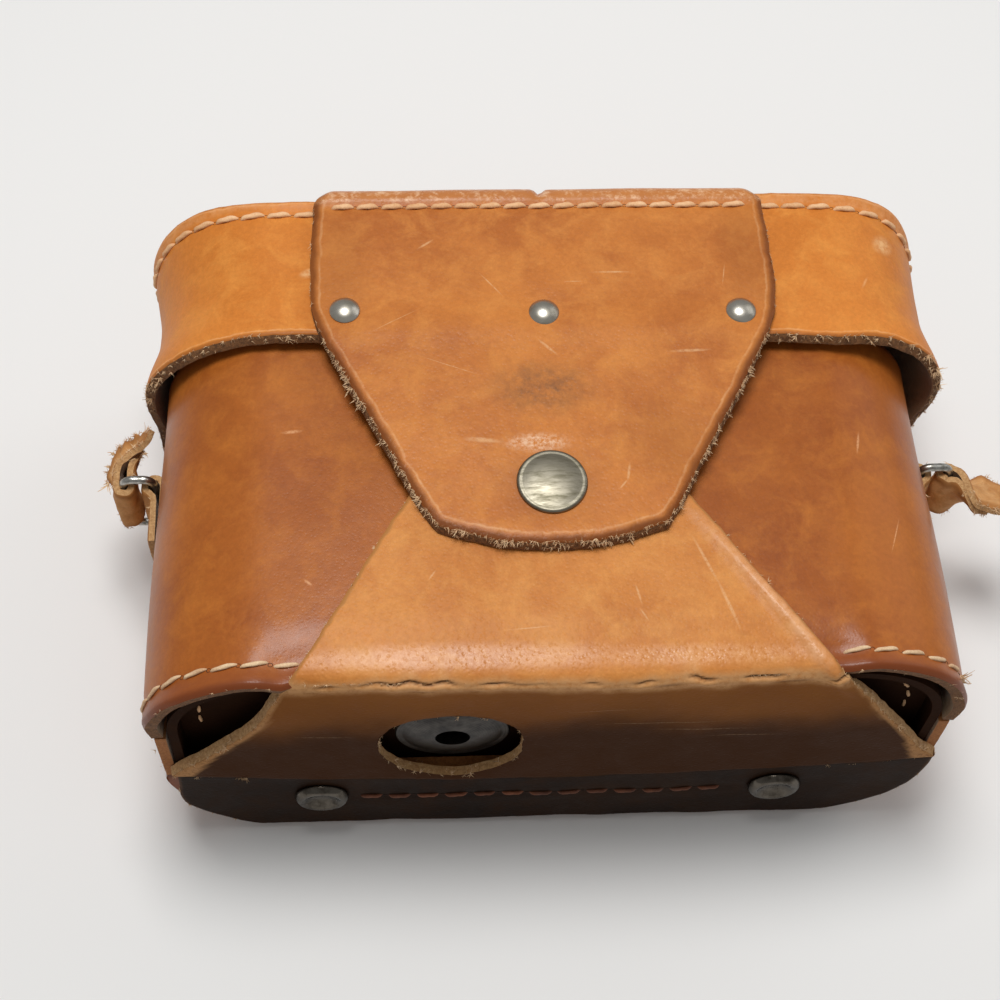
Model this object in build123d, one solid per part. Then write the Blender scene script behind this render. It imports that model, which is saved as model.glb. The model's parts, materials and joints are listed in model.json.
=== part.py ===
from build123d import *
from math import cos, sin, radians, degrees, pi, sqrt
import os

# A vintage leather camera case of the drop-front kind, lying on its back.
# Millimetres. The flat back rests on z = 0, +Z points out of the front, -Y is
# the bottom of the case, +Y is the lid, and the origin is the centre of the
# flat back.

# Overall sizes
case_width = 145.0            # across the front shell, left to right
front_height = 64.5           # back face to the outer face of the front shell
case_height = 100.6           # under the wrap to the cut edge of the lid's band
bottom_face = -51.0           # outer face of the wrap under the case
front_radius = 22.0           # outer corner between front and side
rear_radius = 25.0            # outer corner between side and back
split_height = 41.0           # where the front shell meets the back shell

# Leather thicknesses
shell_leather = 2.6
wrap_leather = 2.0
panel_leather = 2.2
flange_leather = 1.8
band_leather = 2.0
tongue_leather = 2.5
strap_leather = 1.6

# Clearances
part_gap = 0.3                # between leathers of different moving parts
hinge_gap = 0.3               # open line at a living hinge
split_gap = 0.4               # between the front shell and the back shell edges
band_gap = 2.0                # under the lid's band, over the front shell

# Front shell and wrap
shell_overlap = 4.7           # front shell that runs on under the band
fold_half = 46.55             # half the wrap's width where it folds
fold_shift = 1.65             # the wrap sits a little to the right at the fold
fold_radius = 3.0
wrap_tuck = 31.5              # wrap that runs on under the tongue, above its end
wrap_top_half = 11.4
wrap_top_shift = -3.0
wrap_top_radius = 5.0
crease_height = 23.2          # living hinge of the drop front
tip_half = 69.2               # half the width across the wrap's rear corners
tip_shift = 1.2
tip_height = 29.4
tip_inset = 1.6               # the rear corners narrow to the crease
hole_x = -19.4
hole_z = 38.3
hole_radius = 13.2

# Bottom of the back half
panel_recess = 4.0            # bottom panel below the rim
panel_side_gap = 0.4          # panel flange inside the front shell
panel_flange_start = 1.0      # the flange begins this far in front of the crease
strip_inset = 0.8
strip_floor = 1.6             # lower edge of the anchor strip above the back
stud_x = 43.3
stud_z = 16.2
stud_radius = 5.1
stud_dome = 1.7
stud_bowl_ball = 1.7          # ball that forms the bowl in a stud's middle
stud_bowl_lift = 0.6          # centre of that ball above the top of the dome
stud_post_radius = 1.5
stud_washer_radius = 4.1
stud_washer = 0.8

# Tripod screw
screw_x = -18.8
screw_z = 37.6
knob_radius = 10.45
knob_rim = 2.0
knob_chamfer = 0.25
knob_land = 0.5               # flat ring between the chamfer and the dome
knob_dome = 1.5
knob_play = 0.3
neck_radius = 4.2
thread_radius = 3.175         # quarter inch tripod thread
thread_length = 7.0
socket_depth = 5.0
bush_wall = 1.2
bush_flange = 0.4
bush_flange_radius = 7.0
bore_clearance = 0.15
seat_radius = 3.5             # short step that the retaining ring is pressed on
retainer_radius = 5.8
retainer_thickness = 0.8

# Lid
band_depth = 31.5             # from the lid's cut edge to the band's lower edge
band_side_gap = 0.3
band_rear = 25.5              # rear edge of the band's sides above the back
collar_depth = 6.3            # the narrow rim that runs on round the rear
lid_recess = 3.8              # the lid's inset panel below its cut edge
leaf_thickness = 2.0
leaf_depth = 20.0
leaf_half = 44.0
leaf_play = 0.5               # cut-out beside the leaf's ends
back_clearance = 0.6

# Tongue
tongue_top_half = 42.2
knee_half = 43.6
knee_rise = 5.0               # the tongue's knees above the band's lower edge
knee_radius = 7.0
taper_length = 45.2           # from the knees down to the end's corners
tip_corner_half = 19.6
tip_corner_radius = 7.0
tip_flat_half = 7.5
tip_drop = 3.4                # from the end's corners down to its flat
tongue_lean = -1.2            # the tongue's end leans to the left
bend_drop = 0.1               # where it bends when lifted, below the band's edge
tongue_tilt = 2.1             # degrees, its end lies nearer the wrap
turn_radius = 4.0

# Rivets and snap
rivet_x = 36.8
rivet_rise = 3.8              # above the band's lower edge
rivet_head_radius = 2.9
rivet_head_height = 1.3
rivet_shank_radius = 1.2
burr_radius = 2.2
burr_thickness = 0.4
snap_x = -1.2
snap_inset = 10.6             # above the tongue's end
cap_radius = 6.2
cap_rim = 0.5
cap_dome = 0.9
cap_land = 0.15               # step between the cap's rim and its dome
socket_radius = 5.5
socket_bore = 4.9
socket_roof = 0.6
bulb_radius = 1.7
bulb_height = 1.1
bulb_round = 0.4
stem_radius = 1.2
stem_height = 1.0
stud_flange_radius = 3.6
stud_flange = 0.4
post_plate_radius = 4.5
post_plate = 0.8
spring_wire = 0.3
spring_half_gap = 2.15
spring_play = 0.05            # between the wires' ends and the cup

# Rings, tabs and strap stubs
ring_wire = 0.8
ring_reach = 5.8              # from the bar in the tab to the outer bar
ring_y = 4.6
ring_mid_z = 33.0
ring_half_length = 8.1
ring_corner = 2.0
bar_clearance = 0.2
tab_half_width = 6.5
tab_length = 12.6             # from the ring's bar to the tab's end
tab_rivet_drop = 8.6          # from the ring's bar to the rivet
tab_rivet_radius = 1.8
tab_rivet_dome = 0.7
stub_half_width = 6.3
left_stub_long = 14.0
left_stub_short = 9.0
right_stub_long = 16.0
right_stub_short = 10.0
stub_layer_gap = 0.3
right_stub_droop = 18.0       # degrees below straight out

# Stitches
thread_width = 0.9
thread_height = 0.45
thread_round = 0.4
rim_stitch_pitch = 5.4
rim_stitch_length = 4.3
rim_stitch_inset = 4.7        # from the rim's cut edge
lid_stitch_pitch = 4.7
lid_stitch_length = 3.7
lid_stitch_inset = 3.0
lid_stitch_gap = 1.0          # between the tongue's edge and the first stitch
panel_stitch_inset = 8.5      # from the rim, on the bottom panel
panel_stitch_pitch = 4.2
panel_stitch_length = 3.0
panel_stitch_lead = 6.0       # the row starts this far before the corner's turn
panel_stitch_count = 7
anchor_stitch_z = 15.2
anchor_stitch_half = 34.0
hinge_stitch_drop = 7.5       # from the back's hinge line
hinge_stitch_half = 40.0
hinge_stitch_inset = 3.0      # from the front edge of the hinge leaf

# Working allowances
cut_past = 1.0                # cutters run on past the faces that they cut
weld = 0.2                    # shapes of one solid reach this far into each other

# Derived places
half_width = case_width / 2
far = 2 * case_width          # past every side of the case
rim_y = bottom_face + wrap_leather
wrap_face = front_height + wrap_leather
lid_rim = bottom_face + case_height
band_lower = lid_rim - band_depth
collar_lower = lid_rim - collar_depth
panel_face = lid_rim - lid_recess
shell_top = band_lower + shell_overlap
band_inner = front_height + band_gap
band_face = band_inner + band_leather
band_half = half_width + band_side_gap + band_leather
tongue_face = band_face + tongue_leather
bottom_panel_face = rim_y + panel_recess
bottom_panel_inner = bottom_panel_face + panel_leather
lid_panel_inner = panel_face - panel_leather
walls_top = lid_panel_inner - back_clearance
back_top = panel_face - hinge_gap
lid_axis_y = panel_face + leaf_thickness
knee_y = band_lower + knee_rise
tip_corner_y = knee_y - taper_length
tongue_end = tip_corner_y - tip_drop
tongue_bend = band_lower - bend_drop
rivet_y = band_lower + rivet_rise
snap_y = tongue_end + snap_inset
wrap_top = tongue_end + wrap_tuck
thread_start = bottom_panel_inner + bush_flange + knob_play + retainer_thickness


def outline(grow, rear_grow=None, front_extra=0.0):
    """Section of the case in the XZ plane, grown outwards by grow."""
    rear = grow if rear_grow is None else rear_grow
    width = 2 * (half_width + grow)
    low = -rear
    high = front_height + grow + front_extra
    face = Pos(0, (low + high) / 2) * Rectangle(width, high - low)
    face = fillet(face.vertices().sort_by(Axis.Y)[-2:], front_radius + grow + front_extra)
    return fillet(face.vertices().sort_by(Axis.Y)[:2], rear_radius + grow)


def wall(sketch, y_low, y_high):
    """Extrude an XZ sketch along Y, from y_low to y_high."""
    return extrude(Plane.XZ.offset(-y_high) * sketch, y_high - y_low)


def block(x_low, x_high, y_low, y_high, z_low, z_high):
    """A box by its two corners."""
    size = Box(x_high - x_low, y_high - y_low, z_high - z_low)
    return Pos((x_low + x_high) / 2, (y_low + y_high) / 2, (z_low + z_high) / 2) * size


def slab(points, z_low, z_high, corner_radii=None):
    """Extrude an XY polygon along Z, with chosen corners rounded."""
    face = make_face(Polyline(*points, close=True))
    for index, radius in (corner_radii or {}).items():
        spot = Vector(*points[index])
        corner = min(face.vertices(), key=lambda v: (Vector(v.X, v.Y) - spot).length)
        face = fillet(corner, radius)
    return extrude(Pos(0, 0, z_low) * face, z_high - z_low)


def rod_y(radius, x, z, y_low, y_high):
    """A round bar along Y."""
    return wall(Pos(x, z) * Circle(radius), y_low, y_high)


def rod_z(radius, x, y, z_low, z_high):
    """A round bar along Z."""
    return Pos(x, y, (z_low + z_high) / 2) * Cylinder(radius, z_high - z_low)


def dome(radius, height):
    """A shallow cap of a ball on the XY plane, its top towards +Z."""
    ball = (radius * radius + height * height) / (2 * height)
    cap = Pos(0, 0, height - ball) * Sphere(ball)
    return cap & Pos(0, 0, height) * Box(4 * radius, 4 * radius, 2 * height)


def both_sides(piece):
    """The piece and its mirror image across the YZ plane."""
    return [piece, mirror(piece, about=Plane.YZ)]


def outline_spot(distance, side, grow, radius, height):
    """Point and outward angle at a distance along the front, round the corner."""
    flat = half_width + grow - radius
    turn = radius * pi / 2
    if distance <= flat:
        return side * distance, height, 90.0
    if distance <= flat + turn:
        angle = (distance - flat) / radius
        x = flat + radius * sin(angle)
        z = height - radius + radius * cos(angle)
        return side * x, z, 90.0 - side * degrees(angle)
    fall = distance - flat - turn
    return side * (flat + radius), height - radius - fall, 90.0 - side * 90.0


def stitch(length):
    """One thread stitch lying along X on the XY plane."""
    bar = Box(length, thread_width, thread_height)
    bar = fillet(bar.edges().filter_by(Axis.Z), thread_round)
    return Pos(0, 0, thread_height / 2) * bar


def seam_round(side, start, end, pitch, length, y, grow, radius, height):
    """Stitches along the outside of a wall, from start to end along it."""
    count = int((end - start) / pitch) + 1
    row = []
    for index in range(count):
        x, z, angle = outline_spot(start + index * pitch, side, grow, radius, height)
        spot = Plane(origin=(x, y, z), x_dir=(-sin(radians(angle)), 0, cos(radians(angle))),
                     z_dir=(cos(radians(angle)), 0, sin(radians(angle))))
        row.append(spot * stitch(length))
    return row


def make_back_shell():
    """Back, rear corners, side walls and the flap turned up under the case."""
    ring = outline(0) - outline(-shell_leather)
    low_part = Pos(0, (split_height - split_gap) / 2) * Rectangle(far, split_height - split_gap)
    shell = wall(ring & low_part, rim_y, walls_top)
    hinge_tab = block(-leaf_half, leaf_half, walls_top, back_top, 0, shell_leather)
    flap_zone = block(-far, far, rim_y, rim_y + shell_leather, 0, crease_height - hinge_gap)
    flap = wall(outline(0), rim_y, rim_y + shell_leather) & flap_zone
    shell = shell + hinge_tab + flap
    for side in (-1, 1):
        shell -= rod_y(stud_post_radius, side * stud_x, stud_z,
                       rim_y - cut_past, rim_y + shell_leather + cut_past)
    return shell


def make_bottom_panel():
    """Dark inset panel under the camera, with a flange turned out to the rim."""
    inset = -shell_leather - panel_side_gap
    plate = wall(outline(inset), bottom_panel_face, bottom_panel_inner)
    flange = wall(outline(inset) - outline(inset - flange_leather), rim_y + part_gap, bottom_panel_face)
    flange &= block(-far, far, rim_y, bottom_panel_face, crease_height + panel_flange_start, front_height)
    bush_hole = rod_y(neck_radius + bore_clearance + bush_wall, screw_x, screw_z,
                      bottom_panel_face - cut_past, bottom_panel_inner + cut_past)
    return plate + flange - bush_hole


def make_panel_stitching():
    """Thread row on the bottom panel, seen in its two open front corners."""
    inset = panel_stitch_inset
    radius = front_radius - inset
    height = front_height - inset
    row = []
    for side in (-1, 1):
        flat = half_width - inset - radius
        for index in range(panel_stitch_count):
            distance = flat - panel_stitch_lead + index * panel_stitch_pitch
            x, z, angle = outline_spot(distance, side, -inset, radius, height)
            spot = Plane(origin=(x, bottom_panel_face, z),
                         x_dir=(-sin(radians(angle)), 0, cos(radians(angle))), z_dir=(0, -1, 0))
            row.append(spot * stitch(panel_stitch_length))
    return row


def make_anchor_strip():
    """Rear end of the wrap, fixed to the back behind the crease."""
    zone = block(-far, far, bottom_face, rim_y, strip_floor, crease_height - hinge_gap)
    strip = wall(outline(-strip_inset), bottom_face, rim_y) & zone
    for side in (-1, 1):
        strip -= rod_y(stud_post_radius, side * stud_x, stud_z, bottom_face - cut_past, rim_y + cut_past)
    return strip


def make_anchor_stud(side):
    """Domed stud with a bowl in its middle, its post and the washer inside."""
    face = Plane(origin=(side * stud_x, bottom_face, stud_z), z_dir=(0, -1, 0), x_dir=(1, 0, 0))
    head = dome(stud_radius, stud_dome)
    head -= Pos(0, 0, stud_dome + stud_bowl_lift) * Sphere(stud_bowl_ball)
    grip = wrap_leather + shell_leather
    post = Pos(0, 0, -grip / 2) * Cylinder(stud_post_radius, grip)
    washer = Pos(0, 0, -grip - stud_washer / 2) * Cylinder(stud_washer_radius, stud_washer)
    return face * (head + post + washer)


def make_anchor_stitching():
    """Thread row across the anchor strip, between the studs."""
    count = int(2 * anchor_stitch_half / rim_stitch_pitch) + 1
    row = []
    for index in range(count):
        x = -anchor_stitch_half + index * rim_stitch_pitch
        spot = Plane(origin=(x, bottom_face, anchor_stitch_z), x_dir=(1, 0, 0), z_dir=(0, -1, 0))
        row.append(spot * stitch(rim_stitch_length))
    return row


def make_screw_bush():
    """Flanged metal eyelet in the bottom panel that the screw turns in."""
    bore = neck_radius + bore_clearance
    low = bottom_panel_face - bush_flange
    high = bottom_panel_inner + bush_flange
    bush = rod_y(bore + bush_wall, screw_x, screw_z, low, high)
    bush += rod_y(bush_flange_radius, screw_x, screw_z, low, bottom_panel_face)
    bush += rod_y(bush_flange_radius, screw_x, screw_z, bottom_panel_inner, high)
    return bush - rod_y(bore, screw_x, screw_z, low - cut_past, high + cut_past)


def make_tripod_screw():
    """Knob, neck and quarter inch thread, with a tripod socket in the knob."""
    knob_inner = bottom_panel_face - bush_flange - knob_play
    knob_outer = knob_inner - knob_rim
    disc = rod_y(knob_radius, screw_x, screw_z, knob_outer, knob_inner)
    disc = chamfer(disc.edges().filter_by(GeomType.CIRCLE), knob_chamfer)
    dome_foot = knob_outer + knob_chamfer
    face = Plane(origin=(screw_x, dome_foot, screw_z), z_dir=(0, -1, 0), x_dir=(1, 0, 0))
    knob = disc + face * dome(knob_radius - knob_land, knob_dome)
    neck_end = thread_start - retainer_thickness
    knob += rod_y(neck_radius, screw_x, screw_z, knob_inner - weld, neck_end)
    knob += rod_y(seat_radius, screw_x, screw_z, neck_end - weld, thread_start)
    knob += rod_y(thread_radius, screw_x, screw_z, thread_start - weld, thread_start + thread_length)
    mouth = dome_foot - knob_dome
    return knob - rod_y(thread_radius, screw_x, screw_z, mouth - cut_past, mouth + socket_depth)


def make_screw_retainer():
    """Ring pressed on the screw inside the case, so that it cannot drop out."""
    ring = rod_y(retainer_radius, screw_x, screw_z, thread_start - retainer_thickness, thread_start)
    return ring - rod_y(seat_radius, screw_x, screw_z, -far, far)


def make_front_shell():
    """Front and rounded sides of the drop front."""
    ring = outline(0) - outline(-shell_leather)
    zone = Pos(0, split_height + front_height) * Rectangle(far, 2 * front_height)
    shell = wall(ring & zone, rim_y, shell_top)
    return shell - rod_z(stem_radius, snap_x, snap_y, 0, wrap_face)


def make_front_wrap():
    """Light leather from under the tongue, over the fold, to the crease."""
    left = fold_shift - fold_half
    right = fold_shift + fold_half
    front_points = [(left, bottom_face), (right, bottom_face),
                    (wrap_top_shift + wrap_top_half, wrap_top),
                    (wrap_top_shift - wrap_top_half, wrap_top)]
    corners = {2: wrap_top_radius, 3: wrap_top_radius}
    front_leaf = slab(front_points, front_height, wrap_face, corners)
    rounding = Pos(0, bottom_face + fold_radius, wrap_face - fold_radius)
    sharp = block(left - cut_past, right + cut_past, bottom_face, bottom_face + fold_radius,
                  wrap_face - fold_radius, wrap_face)
    bend = rounding * Rot(0, 90, 0) * Cylinder(fold_radius, far)
    front_leaf -= sharp - bend
    tip_left = tip_shift - tip_half
    tip_right = tip_shift + tip_half
    sketch = make_face(Polyline((left, front_height), (tip_left, tip_height),
                                (tip_left + tip_inset, crease_height), (tip_right - tip_inset, crease_height),
                                (tip_right, tip_height), (right, front_height), close=True))
    bottom_leaf = wall(sketch - Pos(hole_x, hole_z) * Circle(hole_radius), bottom_face, rim_y)
    bottom_leaf -= sharp - bend
    wrap = front_leaf + bottom_leaf
    return wrap - rod_z(stem_radius, snap_x, snap_y, 0, wrap_face + cut_past)


def make_rim_stitching():
    """Thread rows along the lower rim of the front shell, beside the wrap."""
    y = rim_y + rim_stitch_inset
    end = half_width - front_radius + front_radius * pi / 2
    rows = []
    for side in (-1, 1):
        start = fold_half + side * fold_shift + rim_stitch_length / 2
        rows += seam_round(side, start, end, rim_stitch_pitch, rim_stitch_length,
                           y, 0, front_radius, front_height)
    return rows


def make_snap_stud():
    """Male half of the snap, riveted through the wrap and the front shell."""
    stud = rod_z(stud_flange_radius, snap_x, snap_y, wrap_face, wrap_face + stud_flange)
    stud += rod_z(stem_radius, snap_x, snap_y, front_height - shell_leather, wrap_face + stem_height)
    top = wrap_face + stem_height
    bulb = rod_z(bulb_radius, snap_x, snap_y, top, top + bulb_height)
    return stud + fillet(bulb.edges().filter_by(GeomType.CIRCLE), bulb_round)


def make_snap_post():
    """Plate behind the front shell that the stud is riveted to."""
    low = front_height - shell_leather - post_plate
    return rod_z(post_plate_radius, snap_x, snap_y, low, front_height - shell_leather)


def make_lid_band():
    """Deep band round the front and sides of the lid, and its rear collar."""
    grow = band_side_gap + band_leather
    extra = band_face - front_height - grow
    outer = outline(grow, 0, extra)
    inner = outline(band_side_gap, -band_leather, extra)
    band = wall(outer - inner, band_lower, lid_rim)
    band -= block(-far, far, band_lower, collar_lower, -far, band_rear)
    band -= block(-leaf_half - leaf_play, leaf_half + leaf_play, band_lower, lid_rim, -far, leaf_depth)
    for side in (-1, 0, 1):
        band -= rod_z(rivet_shank_radius, side * rivet_x, rivet_y,
                      band_inner - cut_past, band_face + cut_past)
    return band


def make_lid_panel():
    """Inset top of the lid, with a flange turned out to the band's edge."""
    extra = band_inner - front_height - band_side_gap
    plate = wall(outline(band_side_gap, -band_leather, extra), lid_panel_inner, panel_face)
    plate &= block(-far, far, lid_panel_inner, panel_face, shell_leather + back_clearance, band_face)
    rim = outline(band_side_gap, -band_leather, extra)
    inside = outline(band_side_gap - flange_leather, -band_leather - flange_leather, extra)
    flange = wall(rim - inside, panel_face, lid_rim)
    flange -= block(-leaf_half - leaf_play, leaf_half + leaf_play, panel_face, lid_rim, -far, leaf_depth)
    return plate + flange


def make_hinge_leaf():
    """Leather leaf sewn on the lid's panel, that bends down to the back."""
    return block(-leaf_half, leaf_half, panel_face, lid_axis_y, hinge_gap, leaf_depth)


def make_hinge_stitching(on_lid):
    """Thread row beside the lid's living hinge, on its lid or back side."""
    count = int(2 * hinge_stitch_half / rim_stitch_pitch) + 1
    row = []
    for index in range(count):
        x = -hinge_stitch_half + index * rim_stitch_pitch
        if on_lid:
            spot = Plane(origin=(x, lid_axis_y, leaf_depth - hinge_stitch_inset),
                         x_dir=(1, 0, 0), z_dir=(0, 1, 0))
        else:
            spot = Plane(origin=(x, back_top - hinge_stitch_drop, shell_leather),
                         x_dir=(1, 0, 0), z_dir=(0, 0, 1))
        row.append(spot * stitch(rim_stitch_length))
    return row


def make_lid_stitching():
    """Thread row round the lid, just below its cut edge, beside the tongue."""
    grow = band_side_gap + band_leather
    radius = front_radius + band_face - front_height
    flat = half_width + grow - radius
    end = flat + radius * pi / 2 + band_face - radius - band_rear
    rows = []
    start = tongue_top_half + lid_stitch_gap + lid_stitch_length / 2
    for side in (-1, 1):
        rows += seam_round(side, start, end, lid_stitch_pitch, lid_stitch_length,
                           lid_rim - lid_stitch_inset, grow, radius, band_face)
    return rows


def make_tongue_stitching():
    """The same thread row where it runs on over the tongue."""
    count = int((2 * tongue_top_half - lid_stitch_length - lid_stitch_gap) / lid_stitch_pitch) + 1
    first = -(count - 1) * lid_stitch_pitch / 2
    row = []
    for index in range(count):
        row.append(Pos(first + index * lid_stitch_pitch, lid_rim - lid_stitch_inset, tongue_face)
                   * stitch(lid_stitch_length))
    return row


def tongue_edge(y):
    """Half the tongue's width at a height below its knees."""
    share = (knee_y - y) / (knee_y - tip_corner_y)
    return knee_half + share * (tip_corner_half - knee_half)


def tongue_middle(y):
    """Centre line of the tongue below its knees."""
    return tongue_lean * (knee_y - y) / (knee_y - tip_corner_y)


def make_tongue_base():
    """Upper part of the tongue, riveted to the band and turned over its edge."""
    half = tongue_edge(tongue_bend)
    middle = tongue_middle(tongue_bend)
    top = lid_rim + tongue_leather
    points = [(-tongue_top_half, top), (-knee_half, knee_y), (middle - half, tongue_bend + hinge_gap / 2),
              (middle + half, tongue_bend + hinge_gap / 2), (knee_half, knee_y), (tongue_top_half, top)]
    base = slab(points, band_face, tongue_face, {1: knee_radius, 4: knee_radius})
    tail_inner = band_inner - flange_leather - tongue_leather
    cover = block(-tongue_top_half, tongue_top_half, lid_rim, top, tail_inner, band_face)
    tail = block(-tongue_top_half, tongue_top_half, panel_face, lid_rim,
                 tail_inner, tail_inner + tongue_leather)
    sharp = block(-far, far, top - turn_radius, top, tongue_face - turn_radius, tongue_face)
    bend = Pos(0, top - turn_radius, tongue_face - turn_radius) * Rot(0, 90, 0) * Cylinder(turn_radius, far)
    base = base + cover + tail - (sharp - bend)
    for side in (-1, 0, 1):
        base -= rod_z(rivet_shank_radius, side * rivet_x, rivet_y,
                      band_face - cut_past, tongue_face + cut_past)
    return base


# The lower tongue is drawn flat, its outer face at z = 0 and its bend line
# at y = 0, and then laid at its tilt against the wrap.
tongue_place = Pos(0, tongue_bend, tongue_face) * Rot(tongue_tilt, 0, 0)


def make_tongue_flap():
    """Lower part of the tongue, which lifts to undo the snap."""
    half = tongue_edge(tongue_bend)
    middle = tongue_middle(tongue_bend)
    low_y = tip_corner_y - tongue_bend
    end_y = tongue_end - tongue_bend
    near = -hinge_gap / 2
    side_points = [(middle - half, near), (tongue_lean - tip_corner_half, low_y),
                   (tongue_lean - tip_flat_half, end_y), (tongue_lean + tip_flat_half, end_y),
                   (tongue_lean + tip_corner_half, low_y), (middle + half, near)]
    rounds = {1: tip_corner_radius, 2: tip_corner_radius, 3: tip_corner_radius, 4: tip_corner_radius}
    flap = slab(side_points, -tongue_leather, 0, rounds)
    flap -= rod_z(socket_radius, snap_x, snap_y - tongue_bend, -tongue_leather - cut_past, cut_past)
    return tongue_place * flap


def make_snap_cap():
    """Plated cap of the snap on the tongue's outer face."""
    cap = rod_z(cap_radius, 0, 0, 0, cap_rim) + Pos(0, 0, cap_rim) * dome(cap_radius - cap_land, cap_dome)
    return tongue_place * Pos(snap_x, snap_y - tongue_bend, 0) * cap


def make_snap_socket():
    """Cup in the tongue that the stud's head sits in."""
    cup = rod_z(socket_radius, 0, 0, -tongue_leather, 0)
    cup -= rod_z(socket_bore, 0, 0, -tongue_leather - cut_past, -socket_roof)
    return tongue_place * Pos(snap_x, snap_y - tongue_bend, 0) * cup


def make_snap_spring():
    """Two spring wires across the cup that grip the stud below its head."""
    reach = sqrt(socket_bore ** 2 - (spring_half_gap + spring_wire) ** 2)
    wires = []
    for side in (-1, 1):
        wire = Rot(90, 0, 0) * Cylinder(spring_wire, 2 * (reach - spring_play))
        wires.append(tongue_place * Pos(snap_x + side * spring_half_gap, snap_y - tongue_bend,
                                        -tongue_leather + 2 * spring_wire) * wire)
    return wires


def make_rivet(side):
    """Domed tubular rivet through the tongue and the band."""
    head = Pos(side * rivet_x, rivet_y, tongue_face) * dome(rivet_head_radius, rivet_head_height)
    return head + rod_z(rivet_shank_radius, side * rivet_x, rivet_y, band_inner, tongue_face + weld)


def make_burr(side):
    """Washer that the rivet is set over, inside the band."""
    return rod_z(burr_radius, side * rivet_x, rivet_y, band_inner - burr_thickness, band_inner)


def ring_axis_x():
    """Distance of a ring's inner bar from the middle of the case."""
    return half_width + strap_leather + bar_clearance + ring_wire


def make_right_tab():
    """Leather tab looped round the ring's bar and fixed to the side."""
    bar = Pos(ring_axis_x(), ring_y)
    bore = ring_wire + bar_clearance
    plate = Rectangle(2 * strap_leather, tab_length)
    plate = Pos(half_width + strap_leather, ring_y - tab_length / 2) * plate
    sketch = bar * Circle(bore + strap_leather) + plate - bar * Circle(bore)
    return extrude(Pos(0, 0, ring_mid_z - tab_half_width) * sketch, 2 * tab_half_width)


def make_right_tab_rivet():
    """Domed rivet through the tab into the side wall."""
    outer = half_width + 2 * strap_leather
    face = Plane(origin=(outer, ring_y - tab_rivet_drop, ring_mid_z), z_dir=(1, 0, 0), x_dir=(0, 1, 0))
    return face * dome(tab_rivet_radius, tab_rivet_dome)


def make_right_ring():
    """Oblong wire ring that the strap hangs on."""
    middle = Plane(origin=(ring_axis_x() + ring_reach / 2, ring_y, ring_mid_z),
                   x_dir=(1, 0, 0), z_dir=(0, -1, 0))
    path = (middle * RectangleRounded(ring_reach, 2 * ring_half_length, ring_corner)).wire()
    section = Plane(origin=path @ 0, z_dir=path % 0) * Circle(ring_wire)
    return sweep(section, path=path)


def make_stub(long_tail, short_tail):
    """Torn strap end, doubled round the ring's outer bar, tails towards +X."""
    bore = ring_wire + bar_clearance
    outer = bore + strap_leather
    sketch = Circle(outer)
    sketch += Pos(long_tail / 2, outer / 2) * Rectangle(long_tail, outer)
    sketch += Pos(short_tail / 2, -outer / 2) * Rectangle(short_tail, outer)
    sketch -= Pos(long_tail / 2, 0) * Rectangle(long_tail, stub_layer_gap)
    sketch -= Circle(bore)
    return extrude(Pos(0, 0, ring_mid_z - stub_half_width) * sketch, 2 * stub_half_width)


def make_left_stub():
    """Left strap end: its torn tails stand up beside the case."""
    spot = Pos(-ring_axis_x() - ring_reach, ring_y, 0) * Rot(0, 0, 90)
    return spot * make_stub(left_stub_long, left_stub_short)


def make_right_stub():
    """Right strap end: its torn tails point away from the case."""
    spot = Pos(ring_axis_x() + ring_reach, ring_y, 0) * Rot(0, 0, -right_stub_droop)
    return spot * make_stub(right_stub_long, right_stub_short)


def save(name, pieces):
    """Write one node, a single solid or a group of like solids."""
    group = pieces if isinstance(pieces, list) else [pieces]
    solids = [solid for piece in group for solid in piece.solids()]
    shape = solids[0] if len(solids) == 1 else Compound(children=solids)
    export_step(shape, "parts/" + name + ".step")


os.makedirs("parts", exist_ok=True)

save("back_shell", make_back_shell())
save("bottom_panel", make_bottom_panel())
save("panel_stitching", make_panel_stitching())
save("anchor_strip", make_anchor_strip())
save("anchor_studs", [make_anchor_stud(-1), make_anchor_stud(1)])
save("anchor_stitching", make_anchor_stitching())
save("screw_bush", make_screw_bush())
save("tripod_screw", make_tripod_screw())
save("screw_retainer", make_screw_retainer())
save("front_shell", make_front_shell())
save("front_wrap", make_front_wrap())
save("rim_stitching", make_rim_stitching())
save("snap_stud", make_snap_stud())
save("snap_post", make_snap_post())
save("lid_band", make_lid_band())
save("lid_panel", make_lid_panel())
save("hinge_leaf", make_hinge_leaf())
save("lid_hinge_stitching", make_hinge_stitching(True))
save("back_hinge_stitching", make_hinge_stitching(False))
save("lid_stitching", make_lid_stitching())
save("tongue_stitching", make_tongue_stitching())
save("tongue_base", make_tongue_base())
save("tongue_flap", make_tongue_flap())
save("snap_cap", make_snap_cap())
save("snap_socket", make_snap_socket())
save("snap_spring", make_snap_spring())
save("tongue_rivets", [make_rivet(side) for side in (-1, 0, 1)])
save("rivet_burrs", [make_burr(side) for side in (-1, 0, 1)])
tabs = both_sides(make_right_tab())
save("right_ring_tab", tabs[0])
save("left_ring_tab", tabs[1])
tab_rivets = both_sides(make_right_tab_rivet())
save("tab_rivets", tab_rivets)
rings = both_sides(make_right_ring())
save("right_ring", rings[0])
save("left_ring", rings[1])
save("left_strap_stub", make_left_stub())
save("right_strap_stub", make_right_stub())
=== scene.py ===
import bpy
import json
import random
from math import atan2, ceil, cos, exp, pi, radians, sin, sqrt, tan
from mathutils import Matrix, Vector, kdtree, noise

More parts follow.
